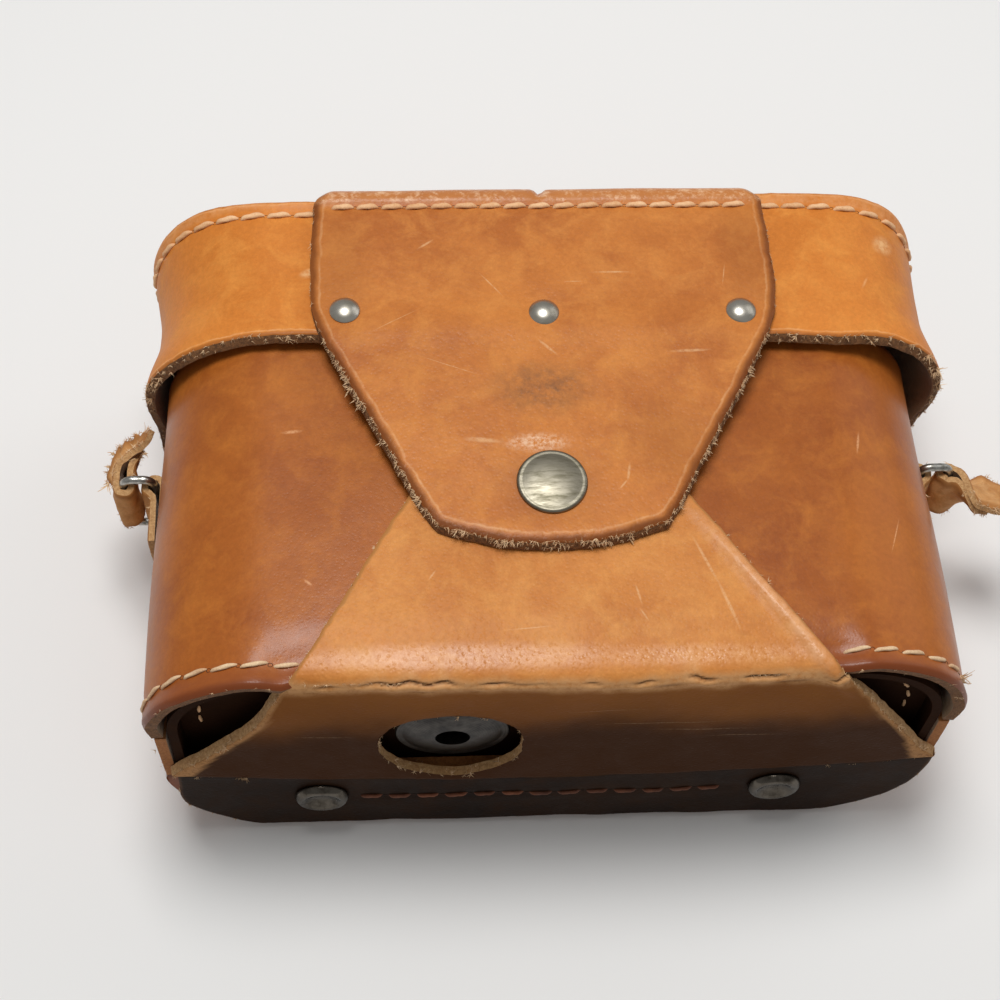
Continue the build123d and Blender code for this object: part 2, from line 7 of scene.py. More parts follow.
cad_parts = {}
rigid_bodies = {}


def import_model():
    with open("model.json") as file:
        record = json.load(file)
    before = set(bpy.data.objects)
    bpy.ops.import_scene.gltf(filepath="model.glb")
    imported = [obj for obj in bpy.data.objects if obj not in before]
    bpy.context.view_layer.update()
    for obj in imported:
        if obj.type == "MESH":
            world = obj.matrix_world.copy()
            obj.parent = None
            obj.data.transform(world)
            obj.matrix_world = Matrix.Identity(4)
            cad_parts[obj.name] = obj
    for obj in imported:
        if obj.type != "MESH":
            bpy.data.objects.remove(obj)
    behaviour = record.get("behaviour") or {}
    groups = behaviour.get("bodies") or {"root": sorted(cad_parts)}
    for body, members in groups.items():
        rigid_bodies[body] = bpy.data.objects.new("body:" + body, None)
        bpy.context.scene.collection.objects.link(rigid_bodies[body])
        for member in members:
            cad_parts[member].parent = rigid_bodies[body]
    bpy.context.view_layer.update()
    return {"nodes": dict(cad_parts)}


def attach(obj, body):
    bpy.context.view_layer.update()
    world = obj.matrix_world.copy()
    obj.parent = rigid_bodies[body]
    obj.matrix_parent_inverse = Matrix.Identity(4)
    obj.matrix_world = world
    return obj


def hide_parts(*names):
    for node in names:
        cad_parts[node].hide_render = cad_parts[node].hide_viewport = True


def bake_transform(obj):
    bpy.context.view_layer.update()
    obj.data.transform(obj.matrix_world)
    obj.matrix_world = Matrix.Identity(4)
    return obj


# A vintage leather camera case of the drop-front kind, lying on its back.
# Lengths in the functions are millimetres, and Blender's own are metres.

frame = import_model()
mm = 0.001
chance = random.Random(1957)

# The case, as its solids have it
half_width = 72.5
front_face = 64.5
rim_y = -49.0
bottom_face = -51.0
wrap_face = 66.5
split_height = 41.0
front_radius = 22.0
rear_radius = 25.0
shell_top = 22.8
lid_rim = 49.6
band_lower = 18.1
band_face = 68.5
band_half = 74.8
band_radius = 26.0
band_rear = 25.5              # the band is whole in front of this, and a collar behind it
collar_y = 43.3
hinge_half = 44.5             # half the width that is left free for the lid's hinge
tongue_face = 71.0
tongue_bend = 18.0
tongue_end = -25.5
crease = 23.2                 # height of the fold that the front drops about
hole_x, hole_z, hole_radius = -19.2, 38.5, 13.2
screw_x, screw_z = -18.8, 37.6
snap_x, snap_y = -1.2, -14.9
ring_x, ring_y, ring_z = 75.1, 4.6, 33.0
rivet_x, rivet_y = 36.8, 21.9
stud_x, stud_z = 43.3, 16.2

# Seams: how far apart the stitches are, and where their rows run
pitch = 5.4
lid_pitch = 5.1
tongue_pitch = 4.7
panel_pitch = 4.2
lid_seam = 46.6               # y of the row on the tongue and the groove of the band
anchor_seam = 15.2            # z of the row across the anchor strip
hinge_seam = 17.0             # z of the row across the hinge leaf


# Working on a piece

def put_down():
    """Object mode, with nothing selected."""
    if bpy.context.object and bpy.context.object.mode != "OBJECT":
        bpy.ops.object.mode_set(mode="OBJECT")
    bpy.ops.object.select_all(action="DESELECT")


def take_up(piece):
    """Make a piece the only one selected and the active one."""
    put_down()
    piece.select_set(True)
    bpy.context.view_layer.objects.active = piece


def begin(name):
    """Name the primitive that was just added, and put its place in its mesh."""
    piece = bpy.context.object
    piece.name = name
    piece.data.name = name
    bpy.ops.object.transform_apply(location=True, rotation=True, scale=True)
    return piece


def pick(piece, kind, test):
    """Select the points, edges or faces whose middle and direction pass a test."""
    take_up(piece)
    bpy.ops.object.mode_set(mode="EDIT")
    bpy.ops.mesh.select_mode(type=kind)
    bpy.ops.mesh.select_all(action="DESELECT")
    bpy.ops.object.mode_set(mode="OBJECT")
    mesh = piece.data
    spots = mesh.vertices
    if kind == "VERT":
        for point in spots:
            point.select = test(point.co / mm, point.normal)
    elif kind == "EDGE":
        for edge in mesh.edges:
            a, b = (spots[i].co / mm for i in edge.vertices)
            edge.select = test((a + b) / 2, b - a)
    else:
        for face in mesh.polygons:
            face.select = test(face.center / mm, face.normal)
    bpy.ops.object.mode_set(mode="EDIT")


def take_whole(piece):
    """Edit a piece with all of it selected."""
    take_up(piece)
    bpy.ops.object.mode_set(mode="EDIT")
    bpy.ops.mesh.select_all(action="SELECT")


def done():
    """Back to object mode after an edit."""
    bpy.ops.object.mode_set(mode="OBJECT")


def divide(piece, cuts, test):
    """Cut the edges that pass a test into equal lengths."""
    pick(piece, "EDGE", test)
    bpy.ops.mesh.subdivide(number_cuts=cuts)
    done()


def score(piece, axis, *places):
    """Cut right through a piece across an axis, X, Y or Z, at some places, and leave both sides."""
    normal = Vector([name == axis for name in "XYZ"])
    for place in places:
        take_whole(piece)
        bpy.ops.mesh.bisect(plane_co=normal * place * mm, plane_no=normal)
        done()


def remove(piece, test):
    """Take away the faces that pass a test."""
    pick(piece, "FACE", test)
    bpy.ops.mesh.delete(type="FACE")
    done()


def face_out(piece, outward):
    """Turn a sheet's faces over where its outward sum comes out negative."""
    if outward < 0:
        take_whole(piece)
        bpy.ops.mesh.flip_normals()
        done()


def cover(piece, *materials):
    """Give a piece its materials, in place of any that it has."""
    piece.data.materials.clear()
    for material in materials:
        piece.data.materials.append(material)


def mould(piece, move):
    """Move each point of a piece; move takes and gives millimetres."""
    for point in piece.data.vertices:
        point.co = move(point.co / mm) * mm
    piece.data.update()


def wobble(spot, size, amount, seed=0.0):
    """An even, repeatable unevenness of a hand-made piece."""
    return amount * noise.noise(spot / size + Vector((seed, seed * 1.7, seed * 0.6)))


def ramp(low, high, value):
    """0 below low, 1 above high, and smooth between."""
    share = min(max((value - low) / (high - low), 0.0), 1.0)
    return share * share * (3 - 2 * share)


def finish(piece, angle=50):
    """Smooth shading, broken only at real corners."""
    take_up(piece)
    bpy.ops.object.shade_smooth_by_angle(angle=radians(angle))
    return piece


def copy_of(piece, matrix):
    """A copy with its own mesh, laid in place by a matrix in millimetres."""
    twin = piece.copy()
    twin.data = piece.data.copy()
    twin.data.transform(Matrix.Scale(mm, 4) @ matrix @ Matrix.Scale(1 / mm, 4))
    bpy.context.collection.objects.link(twin)
    return twin


def join(pieces, name):
    """One object from several, with the first one's materials first."""
    put_down()
    for piece in pieces:
        piece.select_set(True)
    bpy.context.view_layer.objects.active = pieces[0]
    bpy.ops.object.join()
    pieces[0].name = name
    pieces[0].data.name = name
    return pieces[0]


def throw_away(piece):
    """Take a pattern out of the scene once its copies are laid."""
    bpy.data.objects.remove(piece, do_unlink=True)


def standing(origin, along, out):
    """Matrix that lays a piece at a spot, its x along a line and its z outwards."""
    z = Vector(out).normalized()
    x = Vector(along)
    x = (x - z * x.dot(z)).normalized()
    turn = Matrix((x, z.cross(x), z)).transposed().to_4x4()
    return Matrix.Translation(Vector(origin)) @ turn


# Leather: its cut edges, thickness and loose fibres

def open_edges(piece):
    """Edges of the piece that only one face has, with that face."""
    seen = {}
    for face in piece.data.polygons:
        for key in face.edge_keys:
            seen.setdefault(key, []).append(face.index)
    return {key: faces[0] for key, faces in seen.items() if len(faces) == 1}


def edge_distance(piece):
    """Note on each point how far, in millimetres, it is from the cut edge."""
    mesh = piece.data
    ring = sorted({i for key in open_edges(piece) for i in key})
    near = kdtree.KDTree(len(ring))
    for i in ring:
        near.insert(mesh.vertices[i].co, i)
    near.balance()
    distances = [near.find(point.co)[2] / mm for point in mesh.vertices]
    note = mesh.attributes.get("edge") or mesh.attributes.new("edge", "FLOAT", "POINT")
    note.data.foreach_set("value", distances)
    return distances


def edge_aims(piece):
    """Direction off the sheet, in its own plane, at each point of its cut edge."""
    spots = piece.data.vertices
    aims = {}
    for (a, b), face in open_edges(piece).items():
        run = spots[b].co - spots[a].co
        out = (spots[a].co + spots[b].co) / 2 - piece.data.polygons[face].center
        out -= run * (out.dot(run) / max(run.length_squared, 1e-12))
        for i in (a, b):
            aims[i] = aims.get(i, Vector()) + out.normalized()
    return aims


def cut_to_thickness(piece, thickness, materials, rounding=0.22, width=0.7, ragged=0.2, slant=None):
    """Give a sheet a ragged cut edge, its outer corner rubbed round, and its thickness inwards.

    materials are those of its grain side, flesh side and cut edge. rounding is how
    far the corner is rubbed down, over a border of width. slant, a function of the
    spot, is how far the inner side reaches past the outer one. Gives the edge as
    (start, end, off the sheet, from outer to inner side) runs for fibres to grow on."""
    mesh = piece.data
    worn, slanted = 2.5, 2.0      # width of the border that is ragged, and that a slanted cut draws out
    normals = [point.normal.copy() for point in mesh.vertices]
    for point, normal, away in zip(mesh.vertices, normals, edge_distance(piece)):
        if away < worn:
            spot = point.co / mm
            shift = Vector([wobble(spot, 2.0, ragged, n * 7.0) + wobble(spot, 9.0, ragged, n * 3.0)
                            for n in (1, 2, 3)]) * (1 - away / worn)
            point.co += (shift - normal * shift.dot(normal)) * mm
    mesh.update()
    distances = edge_distance(piece)
    aims = edge_aims(piece)
    near = kdtree.KDTree(len(aims))
    for i in aims:
        near.insert(mesh.vertices[i].co, i)
    near.balance()
    reaches = []
    if slant:
        for point, away in zip(mesh.vertices, distances):
            if away < slanted:
                aim = aims[near.find(point.co)[1]].normalized()
                reaches.append((point.index, aim * slant(point.co / mm) * (1 - away / slanted) ** 2))
    lowered = [point.normal * rounding * (1 - min(away / width, 1)) ** 2
               for point, away in zip(mesh.vertices, distances)]
    roots = []
    for (a, b), face in open_edges(piece).items():
        start, end = mesh.vertices[a].co / mm, mesh.vertices[b].co / mm
        middle = (start + end) / 2
        out = middle - mesh.polygons[face].center / mm
        run = end - start
        if run.length < 1e-4:
            continue
        out -= run * (out.dot(run) / run.length_squared)
        if out.length > 1e-4:
            out.normalize()
            inner = out * (slant(middle) if slant else 0) - mesh.polygons[face].normal * thickness
            roots.append((start, end, out, inner))
    cover(piece, *materials)
    wall = piece.modifiers.new("thickness", "SOLIDIFY")
    wall.thickness = thickness * mm
    wall.offset = -1
    wall.material_offset = 1
    wall.material_offset_rim = 2
    take_up(piece)
    bpy.ops.object.modifier_apply(modifier=wall.name)
    for point, drop in zip(piece.data.vertices, lowered):
        point.co -= drop * mm
    for i, reach in reaches:
        piece.data.vertices[len(lowered) + i].co += reach * mm
    finish(piece)
    return roots


def one_tuft():
    """A few curled fibres that stick out of the leather together."""
    hairs = []
    for _ in range(5):
        put_down()
        bpy.ops.mesh.primitive_cone_add(vertices=3, radius1=0.12 * mm, radius2=0.04 * mm, depth=1 * mm,
                                        location=(0, 0, 0.5 * mm))
        hair = begin("hair")
        divide(hair, 3, lambda middle, run: abs(run.z) > 0.5)
        reach, bend, way = chance.uniform(0.5, 1.0), chance.uniform(0.2, 0.8), chance.uniform(0, 2 * pi)
        lean = Vector((chance.uniform(-0.6, 0.6), chance.uniform(-0.6, 0.6), 0))
        curl = Vector((cos(way), sin(way), 0)) * bend
        mould(hair, lambda p: Vector((p.x, p.y, p.z * reach)) + lean * p.z + curl * p.z * p.z)
        hairs.append(hair)
    return join(hairs, "tuft")


def fray(piece, roots, count, length, material):
    """Tufts of loose fibres, a count of them along a cut edge, joined to their piece."""
    patterns = [one_tuft() for _ in range(3)]
    lengths = [(end - start).length for start, end, _, _ in roots]
    tufts = []
    for start, end, out, inner in chance.choices(roots, weights=lengths, k=count):
        share = 0.04 + 0.8 * chance.random() ** 2
        spot = start.lerp(end, chance.random()) + inner * share
        thick = 0.5 + 1.1 * max(noise.noise(spot / 2.5), -0.25)
        size = length * (0.35 + 0.9 * chance.random() ** 2) * thick
        aim = out - inner.normalized() * 0.3 + Vector([chance.uniform(-0.5, 0.5) for _ in range(3)])
        across = inner if abs(aim.normalized().dot(inner.normalized())) < 0.98 else end - start
        tufts.append(copy_of(chance.choice(patterns), standing(spot - out * 0.12, across, aim)
                             @ Matrix.Diagonal((0.5 + size / 2, 0.5 + size / 2, size, 1))))
    for pattern in patterns:
        throw_away(pattern)
    bundle = join(tufts, piece.name + "_fibres")
    cover(bundle, material)
    finish(bundle, 80)
    return join([piece, bundle], piece.name)


# Leather sheets laid along a route

def rounded_route(corners):
    """Even spots along straight runs whose corners are rounded: (a, b, radius) each."""
    spots = []
    for index, (a, b, radius) in enumerate(corners):
        corner = Vector((a, b))
        if index in (0, len(corners) - 1) or radius == 0:
            spots.append(corner)
            continue
        before = (Vector(corners[index - 1][:2]) - corner).normalized()
        after = (Vector(corners[index + 1][:2]) - corner).normalized()
        opening = before.angle(after)
        centre = corner + (before + after).normalized() * radius / sin(opening / 2)
        reach = radius / tan(opening / 2)
        first, last = corner + before * reach - centre, corner + after * reach - centre
        turn = atan2(first.x * last.y - first.y * last.x, first.dot(last))
        for step in range(13):
            angle = turn * step / 12
            spots.append(centre + Vector((first.x * cos(angle) - first.y * sin(angle),
                                          first.x * sin(angle) + first.y * cos(angle))))
    lengths = [0.0]
    for a, b in zip(spots, spots[1:]):
        lengths.append(lengths[-1] + (b - a).length)
    return spots, lengths


def spot_on(route, distance):
    """Place and outward direction at a distance along a route."""
    spots, lengths = route
    distance = min(max(distance, 0.0), lengths[-1])
    index = 1
    while index < len(lengths) - 1 and lengths[index] < distance:
        index += 1
    run = max(lengths[index] - lengths[index - 1], 1e-9)
    share = (distance - lengths[index - 1]) / run
    heading = (spots[index] - spots[index - 1]).normalized()
    return spots[index - 1].lerp(spots[index], share), Vector((heading.y, -heading.x))


def spread(length, step, fine=()):
    """Places of the cuts along a length: close at both ends, about a step apart between.

    fine holds (from, to, step) runs that are cut finer."""
    lead = [0.0, 0.25, 0.6, 1.2]
    even = (length - 2 * lead[-1]) / int(length / step)
    places = []
    place = lead[-1]
    while place < length - lead[-1] - 0.3 * even:
        places.append(place)
        here = [s for low, high, s in fine if low <= place < high]
        place += here[0] if here else even
    return lead[:3] + places + [length - x for x in reversed(lead)]


def shares(width, step):
    """Shares across a sheet, close together at both borders."""
    return [place / width for place in spread(width, step)]


def lay_sheet(name, across, along, left, right, build):
    """A sheet of leather: a grid whose rows run from a left to a right border.

    across holds shares of the width, along holds distances along the sheet, and
    build turns a place across and along into a spot in the case."""
    put_down()
    columns, rows = len(across) - 1, len(along) - 1
    bpy.ops.mesh.primitive_grid_add(x_subdivisions=columns, y_subdivisions=rows, size=1 * mm)
    sheet = begin(name)

    def laid(p):
        share = across[round((p.x + 0.5) * columns)]
        s = along[round((0.5 - p.y) * rows)]
        return build(left(s) + share * (right(s) - left(s)), s)

    mould(sheet, laid)
    return sheet


# Walls of the case: a box whose long edges are rounded

def case_tube(name, half, low, high, y_low, y_high, front, rear, step, open_faces):
    """The case's section between two y heights, from z low to high, with some faces left open.

    front and rear are the radii of its long corners, and step is the size of its cells."""
    put_down()
    bpy.ops.mesh.primitive_cube_add(
        size=1, location=(0, (y_low + y_high) / 2 * mm, (low + high) / 2 * mm),
        scale=(2 * half * mm, (y_high - y_low) * mm, (high - low) * mm))
    tube = begin(name)
    remove(tube, open_faces)
    for height, radius in ((high, front), (low, rear)):
        if radius:
            pick(tube, "EDGE", lambda m, run: abs(run.y) > 1 and abs(m.z - height) < 0.01)
            bpy.ops.mesh.bevel(offset=radius * mm, segments=ceil(radius * 1.6 / step), affect="EDGES",
                               offset_type="OFFSET")
            done()
    divide(tube, ceil((y_high - y_low) / step) - 1, lambda m, run: abs(run.y) > 0.9 * (y_high - y_low))
    divide(tube, ceil(2 * (half - front) / step) - 1, lambda m, run: abs(run.x) > 30)
    divide(tube, ceil((high - low - front - rear) / step), lambda m, run: abs(run.z) > 2.5 * step)
    return tube


def round_the_case(distance, side, half, radius, height):
    """Place, direction and outward direction on a section, from the middle of its front."""
    flat = half - radius
    turn = radius * pi / 2
    if distance <= flat:
        return Vector((side * distance, height)), Vector((side, 0)), Vector((0, 1))
    if distance <= flat + turn:
        angle = (distance - flat) / radius
        out = Vector((side * sin(angle), cos(angle)))
        centre = Vector((side * flat, height - radius))
        return centre + out * radius, Vector((side * cos(angle), -sin(angle))), out
    fall = distance - flat - turn
    return Vector((side * half, height - radius - fall)), Vector((0, -1)), Vector((side, 0))


# Thread

def one_stitch(length, width, height, dip):
    """A twisted two-ply stitch whose ends dip into their holes."""
    put_down()
    bpy.ops.mesh.primitive_cylinder_add(vertices=8, radius=0.5 * mm, depth=1 * mm, rotation=(0, pi / 2, 0))
    stitch = begin("stitch")
    divide(stitch, 8, lambda m, run: abs(run.x) > 0.5)

    def shape(p):
        end = abs(2 * p.x)
        ply = 1 + 0.13 * cos(2 * (atan2(p.z, p.y) - 5.2 * p.x))
        slim = sqrt(max(1 - end ** 5, 0.12))
        return Vector((p.x * length, p.y * width * ply * slim,
                       p.z * height * ply * slim + height * 0.30 - dip * end ** 4))

    mould(stitch, shape)
    return stitch


def drop_on(ground, spot, out):
    """Where a needle that comes from outside meets the leather, and how it lies there."""
    spot, out = Vector(spot), Vector(out).normalized()
    hit, place, normal, _ = ground.ray_cast((spot + out * 6) * mm, -out, distance=12 * mm)
    if not hit:
        return spot, out, False
    return place / mm, normal if normal.dot(out) > 0.5 else out, True


def sew(name, spots, length, width, height, thread, ground=None, dip=0.5, slant=0.0, lift=0.0):
    """A row of stitches, each a little different, resting on the leather."""
    pattern = one_stitch(length, width, height, dip)
    row = []
    for origin, along, out in spots:
        place, normal = Vector(origin), Vector(out)
        if ground:
            place, normal, _ = drop_on(ground, place, normal)
        turn = Matrix.Rotation(radians(slant + chance.uniform(-3, 3)), 4, "Z")
        size = 1 + chance.uniform(-0.05, 0.05)
        row.append(copy_of(pattern, standing(place + normal * lift, along, normal) @ turn
                           @ Matrix.Diagonal((size, 1, 1, 1))))
    throw_away(pattern)
    seam = join(row, name)
    cover(seam, thread)
    return finish(seam, 70)


def needle_holes(name, spots, gap, material, ground):
    """Dark discs of painted shade at the pricked holes between the stitches of a row."""
    put_down()
    bpy.ops.mesh.primitive_circle_add(vertices=10, radius=0.5 * mm, fill_type="TRIFAN")
    pattern = begin("hole")
    mould(pattern, lambda p: Vector((p.x * gap * 1.5, p.y * gap * 1.15, -0.25 if p.length < 0.1 else 0.03)))
    row = []
    for origin, along, out in spots:
        place, normal, found = drop_on(ground, origin, out)
        if found:
            row.append(copy_of(pattern, standing(place + normal * 0.03, along, normal)))
    throw_away(pattern)
    holes = join(row, name)
    cover(holes, material)
    return holes


def straight_row(first, apart, count, y, z, out, shift=0.0):
    """Spots of a row of stitches along x, (place, along, out) each."""
    return [((first + i * apart + shift, y, z), (1, 0, 0), out) for i in range(count)]


def corner_rows(starts, end, apart, half, radius, height, level):
    """Spots of stitches, and of the needle holes between them, round both front corners.

    starts holds (side, distance from the middle) pairs, and level gives a spot's y,
    or None where nothing is sewn."""
    spots, holes = [], []
    for side, distance in starts:
        while distance < end:
            for row, place in ((spots, distance), (holes, distance + apart / 2)):
                spot, along, out = round_the_case(place, side, half, radius, height)
                y = level(side, spot)
                if y is not None:
                    row.append(((spot.x, y, spot.y), (along.x, 0, along.y), (out.x, 0, out.y)))
            distance += apart
    return spots, holes


# Turned metal

def turned(name, profile, material, sides=64):
    """A turned piece about z: the rings of a profile, (radius, height) each, from its back to its crown."""
    put_down()
    radius, height = profile[0]
    bpy.ops.mesh.primitive_circle_add(vertices=sides, radius=radius * mm, location=(0, 0, height * mm))
    piece = begin(name)
    take_whole(piece)
    for (r0, z0), (r1, z1) in zip(profile, profile[1:]):
        bpy.ops.mesh.extrude_region_move(TRANSFORM_OT_translate={"value": (0, 0, (z1 - z0) * mm)})
        share = max(r1, 0.001) / r0
        bpy.ops.transform.resize(value=(share, share, 1), center_override=(0, 0, z1 * mm))
    bpy.ops.mesh.select_all(action="SELECT")
    bpy.ops.mesh.remove_doubles(threshold=0.004 * mm)
    bpy.ops.mesh.select_all(action="DESELECT")
    bpy.ops.mesh.select_non_manifold()
    bpy.ops.mesh.edge_face_add()
    bpy.ops.mesh.select_all(action="SELECT")
    bpy.ops.mesh.normals_make_consistent(inside=False)
    done()
    cover(piece, material)
    return finish(piece, 40)


# Materials

def linear(code):
    """An sRGB hex colour as linear values."""
    values = [int(code[i:i + 2], 16) / 255 for i in (1, 3, 5)]
    return (*[v / 12.92 if v <= 0.04045 else ((v + 0.055) / 1.055) ** 2.4 for v in values], 1.0)


def feed(tree, node, inputs):
    """Set a node's inputs, each to a value or to another node's outlet."""
    for key, value in inputs.items():
        if isinstance(value, bpy.types.NodeSocket):
            tree.links.new(value, node.inputs[key])
        else:
            node.inputs[key].default_value = value


def add(tree, kind, inputs=None, **settings):
    """Add a node with its settings and its inputs."""
    node = tree.nodes.new(kind)
    for key, value in settings.items():
        setattr(node, key, value)
    feed(tree, node, inputs or {})
    return node


bending = []                  # materials of pieces that bend at a hinge


def new_material(name, bends=False):
    """A plain material, its nodes, its shader and the place that its patterns are laid by.

    That is the point's own place, or its place at rest where the piece bends."""
    material = bpy.data.materials.new(name)
    material.use_nodes = True
    tree = material.node_tree
    shader = tree.nodes["Principled BSDF"]
    if bends:
        bending.append(material)
        place = add(tree, "ShaderNodeAttribute", attribute_name="resting_place").outputs["Vector"]
    else:
        place = tree.nodes.new("ShaderNodeTexCoord").outputs["Object"]
    return material, tree, shader, place


def note_resting_places():
    """Note each point's place at rest, so that grain and stains stay put where the leather bends."""
    for piece in bpy.context.scene.objects:
        if piece.type == "MESH" and any(material in bending for material in piece.data.materials):
            places = [length for point in piece.data.vertices for length in point.co]
            piece.data.attributes.new("resting_place", "FLOAT_VECTOR", "POINT").data.foreach_set("vector", places)


def marks(tree, place, spots, face="front"):
    """Mask of worn marks on the front or bottom: (x, y, z, half length, half width, turn) each.

    Lengths are millimetres, and turn is degrees."""
    total = None
    through = 5                   # a mark reaches this far into the leather
    for x, y, z, long, wide, turn in spots:
        flat = face == "front"
        size = (long, wide, through) if flat else (long, through, wide)
        angle = (0, 0, radians(turn)) if flat else (0, -radians(turn), 0)
        local = add(tree, "ShaderNodeMapping", {
            "Vector": place, "Location": Vector((x, y, z)) * mm, "Rotation": angle,
            "Scale": Vector(size) * mm}, vector_type="TEXTURE")
        away = add(tree, "ShaderNodeVectorMath", {0: local.outputs[0]}, operation="LENGTH").outputs["Value"]
        mask = add(tree, "ShaderNodeMapRange", {
            "Value": away, "From Min": 1.0, "From Max": 0.2, "To Min": 0.0, "To Max": 1.0},
            interpolation_type="SMOOTHSTEP").outputs["Result"]
        total = mask if total is None else add(
            tree, "ShaderNodeMath", {0: total, 1: mask}, operation="MAXIMUM").outputs[0]
    return total


def hide(name, dark, middle, light, border, pore=0.9, depth=0.05, rough=0.45, coat=0.25, cloud=26.0,
         burnish=2.2, line=0.0, crumple=0.22):
    """Vegetable tanned cowhide: cloudy colour, pores, creases and a burnished border.

    pore, cloud and burnish are sizes in millimetres: of the pores, of the clouds
    and of the dark border. depth and crumple are heights of the bumps, and line is
    the strength of a painted highlight: a pale line along the rubbed ridge inside the border."""
    material, tree, shader, place = new_material(name, bends=True)
    clouds = add(tree, "ShaderNodeTexNoise", {
        "Vector": place, "Scale": 1 / (cloud * mm), "Detail": 6.0, "Roughness": 0.62}).outputs["Fac"]
    first = add(tree, "ShaderNodeMapRange", {"Value": clouds, "From Min": 0.36, "From Max": 0.60}).outputs[0]
    tone = add(tree, "ShaderNodeMix", {0: first, 6: linear(dark), 7: linear(middle)}, data_type="RGBA").outputs[2]
    patches = add(tree, "ShaderNodeTexNoise", {
        "Vector": place, "Scale": 1 / (7.0 * mm), "Detail": 8.0, "Roughness": 0.7, "Distortion": 0.4}).outputs["Fac"]
    second = add(tree, "ShaderNodeMapRange", {"Value": patches, "From Min": 0.46, "From Max": 0.72,
                                              "To Max": 0.75}).outputs[0]
    tone = add(tree, "ShaderNodeMix", {0: second, 6: tone, 7: linear(light)}, data_type="RGBA").outputs[2]
    specks = add(tree, "ShaderNodeTexNoise", {
        "Vector": place, "Scale": 1 / (0.9 * mm), "Detail": 4.0, "Roughness": 0.8}).outputs["Fac"]
    fleck = add(tree, "ShaderNodeMapRange", {"Value": specks, "From Min": 0.30, "From Max": 0.70,
                                             "To Min": 0.90, "To Max": 1.10}).outputs[0]
    tone = add(tree, "ShaderNodeVectorMath", {0: tone, 3: fleck}, operation="SCALE").outputs[0]
    away = noted(tree, "edge")
    uneven = add(tree, "ShaderNodeMath", {0: patches, 1: -1.6, 2: away}, operation="MULTIPLY_ADD").outputs[0]
    worn = add(tree, "ShaderNodeMapRange", {
        "Value": uneven, "From Min": 0.3 * burnish - 0.8, "From Max": burnish - 0.8,
        "To Min": 0.85, "To Max": 0.0}, interpolation_type="SMOOTHSTEP").outputs[0]
    tone = add(tree, "ShaderNodeMix", {0: worn, 6: tone, 7: linear(border)}, data_type="RGBA").outputs[2]
    # painted highlight: a pale line along the rubbed ridge just inside the burnished border, as strong as line
    rise = add(tree, "ShaderNodeMapRange", {
        "Value": uneven, "From Min": 0.8 * burnish - 0.8, "From Max": burnish - 0.8},
        interpolation_type="SMOOTHSTEP").outputs[0]
    fall = add(tree, "ShaderNodeMapRange", {"Value": uneven, "From Min": burnish - 0.75, "From Max": burnish - 0.45,
                                            "To Min": line, "To Max": 0.0}, interpolation_type="SMOOTHSTEP").outputs[0]
    rubbed = add(tree, "ShaderNodeMath", {0: rise, 1: fall}, operation="MULTIPLY").outputs[0]
    rubbed = broken(tree, place, rubbed, 5.0, 0.3, 0.7)
    tone = add(tree, "ShaderNodeMix", {0: rubbed, 6: tone, 7: linear("#f3cf9f")}, data_type="RGBA").outputs[2]
    cells = add(tree, "ShaderNodeTexVoronoi", {"Vector": place, "Scale": 1 / (pore * mm), "Randomness": 1.0},
                feature="F1").outputs["Distance"]
    pits = add(tree, "ShaderNodeMapRange", {"Value": cells, "From Min": 0.05, "From Max": 0.45}).outputs[0]
    grain = add(tree, "ShaderNodeBump", {"Height": pits, "Distance": depth * mm, "Strength": 0.55})
    folds = add(tree, "ShaderNodeTexNoise", {
        "Vector": place, "Scale": 1 / (2.6 * mm), "Detail": 9.0, "Roughness": 0.62}).outputs["Fac"]
    skin = add(tree, "ShaderNodeBump", {"Height": folds, "Distance": crumple * mm, "Strength": 0.45,
                                        "Normal": grain.outputs[0]})
    gloss = add(tree, "ShaderNodeMapRange", {"Value": patches, "From Min": 0.3, "From Max": 0.7,
                                             "To Min": rough - 0.08, "To Max": rough + 0.10}).outputs[0]
    feed(tree, shader, {
        "Base Color": tone, "Roughness": gloss, "Normal": skin.outputs[0], "Coat Normal": skin.outputs[0],
        "Coat Weight": coat, "Coat Roughness": 0.22, "Specular IOR Level": 0.16})
    return material, tree, shader, place, tone


def tint(tree, shader, tone, mask, colour, strength=1.0):
    """Lay a colour over the leather where a mask is."""
    share = add(tree, "ShaderNodeMath", {0: mask, 1: strength}, operation="MULTIPLY", use_clamp=True).outputs[0]
    tone = add(tree, "ShaderNodeMix", {0: share, 6: tone, 7: linear(colour)}, data_type="RGBA").outputs[2]
    tree.links.new(tone, shader.inputs["Base Color"])
    return tone


def broken(tree, place, mask, size, low, high):
    """The same mask, broken up as a dry scuff is."""
    grit = add(tree, "ShaderNodeTexNoise", {
        "Vector": place, "Scale": 1 / (size * mm), "Detail": 6.0, "Roughness": 0.75}).outputs["Fac"]
    part = add(tree, "ShaderNodeMapRange", {"Value": grit, "From Min": low, "From Max": high}).outputs[0]
    return add(tree, "ShaderNodeMath", {0: mask, 1: part}, operation="MULTIPLY").outputs[0]


def less_rough(tree, shader, mask, amount):
    """Rub the leather smoother where a mask is."""
    plain = shader.inputs["Roughness"].links[0].from_socket
    smooth = add(tree, "ShaderNodeMath", {0: mask, 1: -amount, 2: plain}, operation="MULTIPLY_ADD").outputs[0]
    tree.links.new(smooth, shader.inputs["Roughness"])


def noted(tree, name):
    """A mask that was noted on the points of the piece."""
    return add(tree, "ShaderNodeAttribute", attribute_name=name).outputs["Fac"]


def between(tree, place, axis, low, high):
    """Mask that rises from 0 to 1 between two places along an axis, X, Y or Z."""
    value = add(tree, "ShaderNodeSeparateXYZ", {0: place}).outputs[axis]
    return add(tree, "ShaderNodeMapRange", {
        "Value": value, "From Min": low * mm, "From Max": high * mm}, interpolation_type="SMOOTHSTEP").outputs[0]


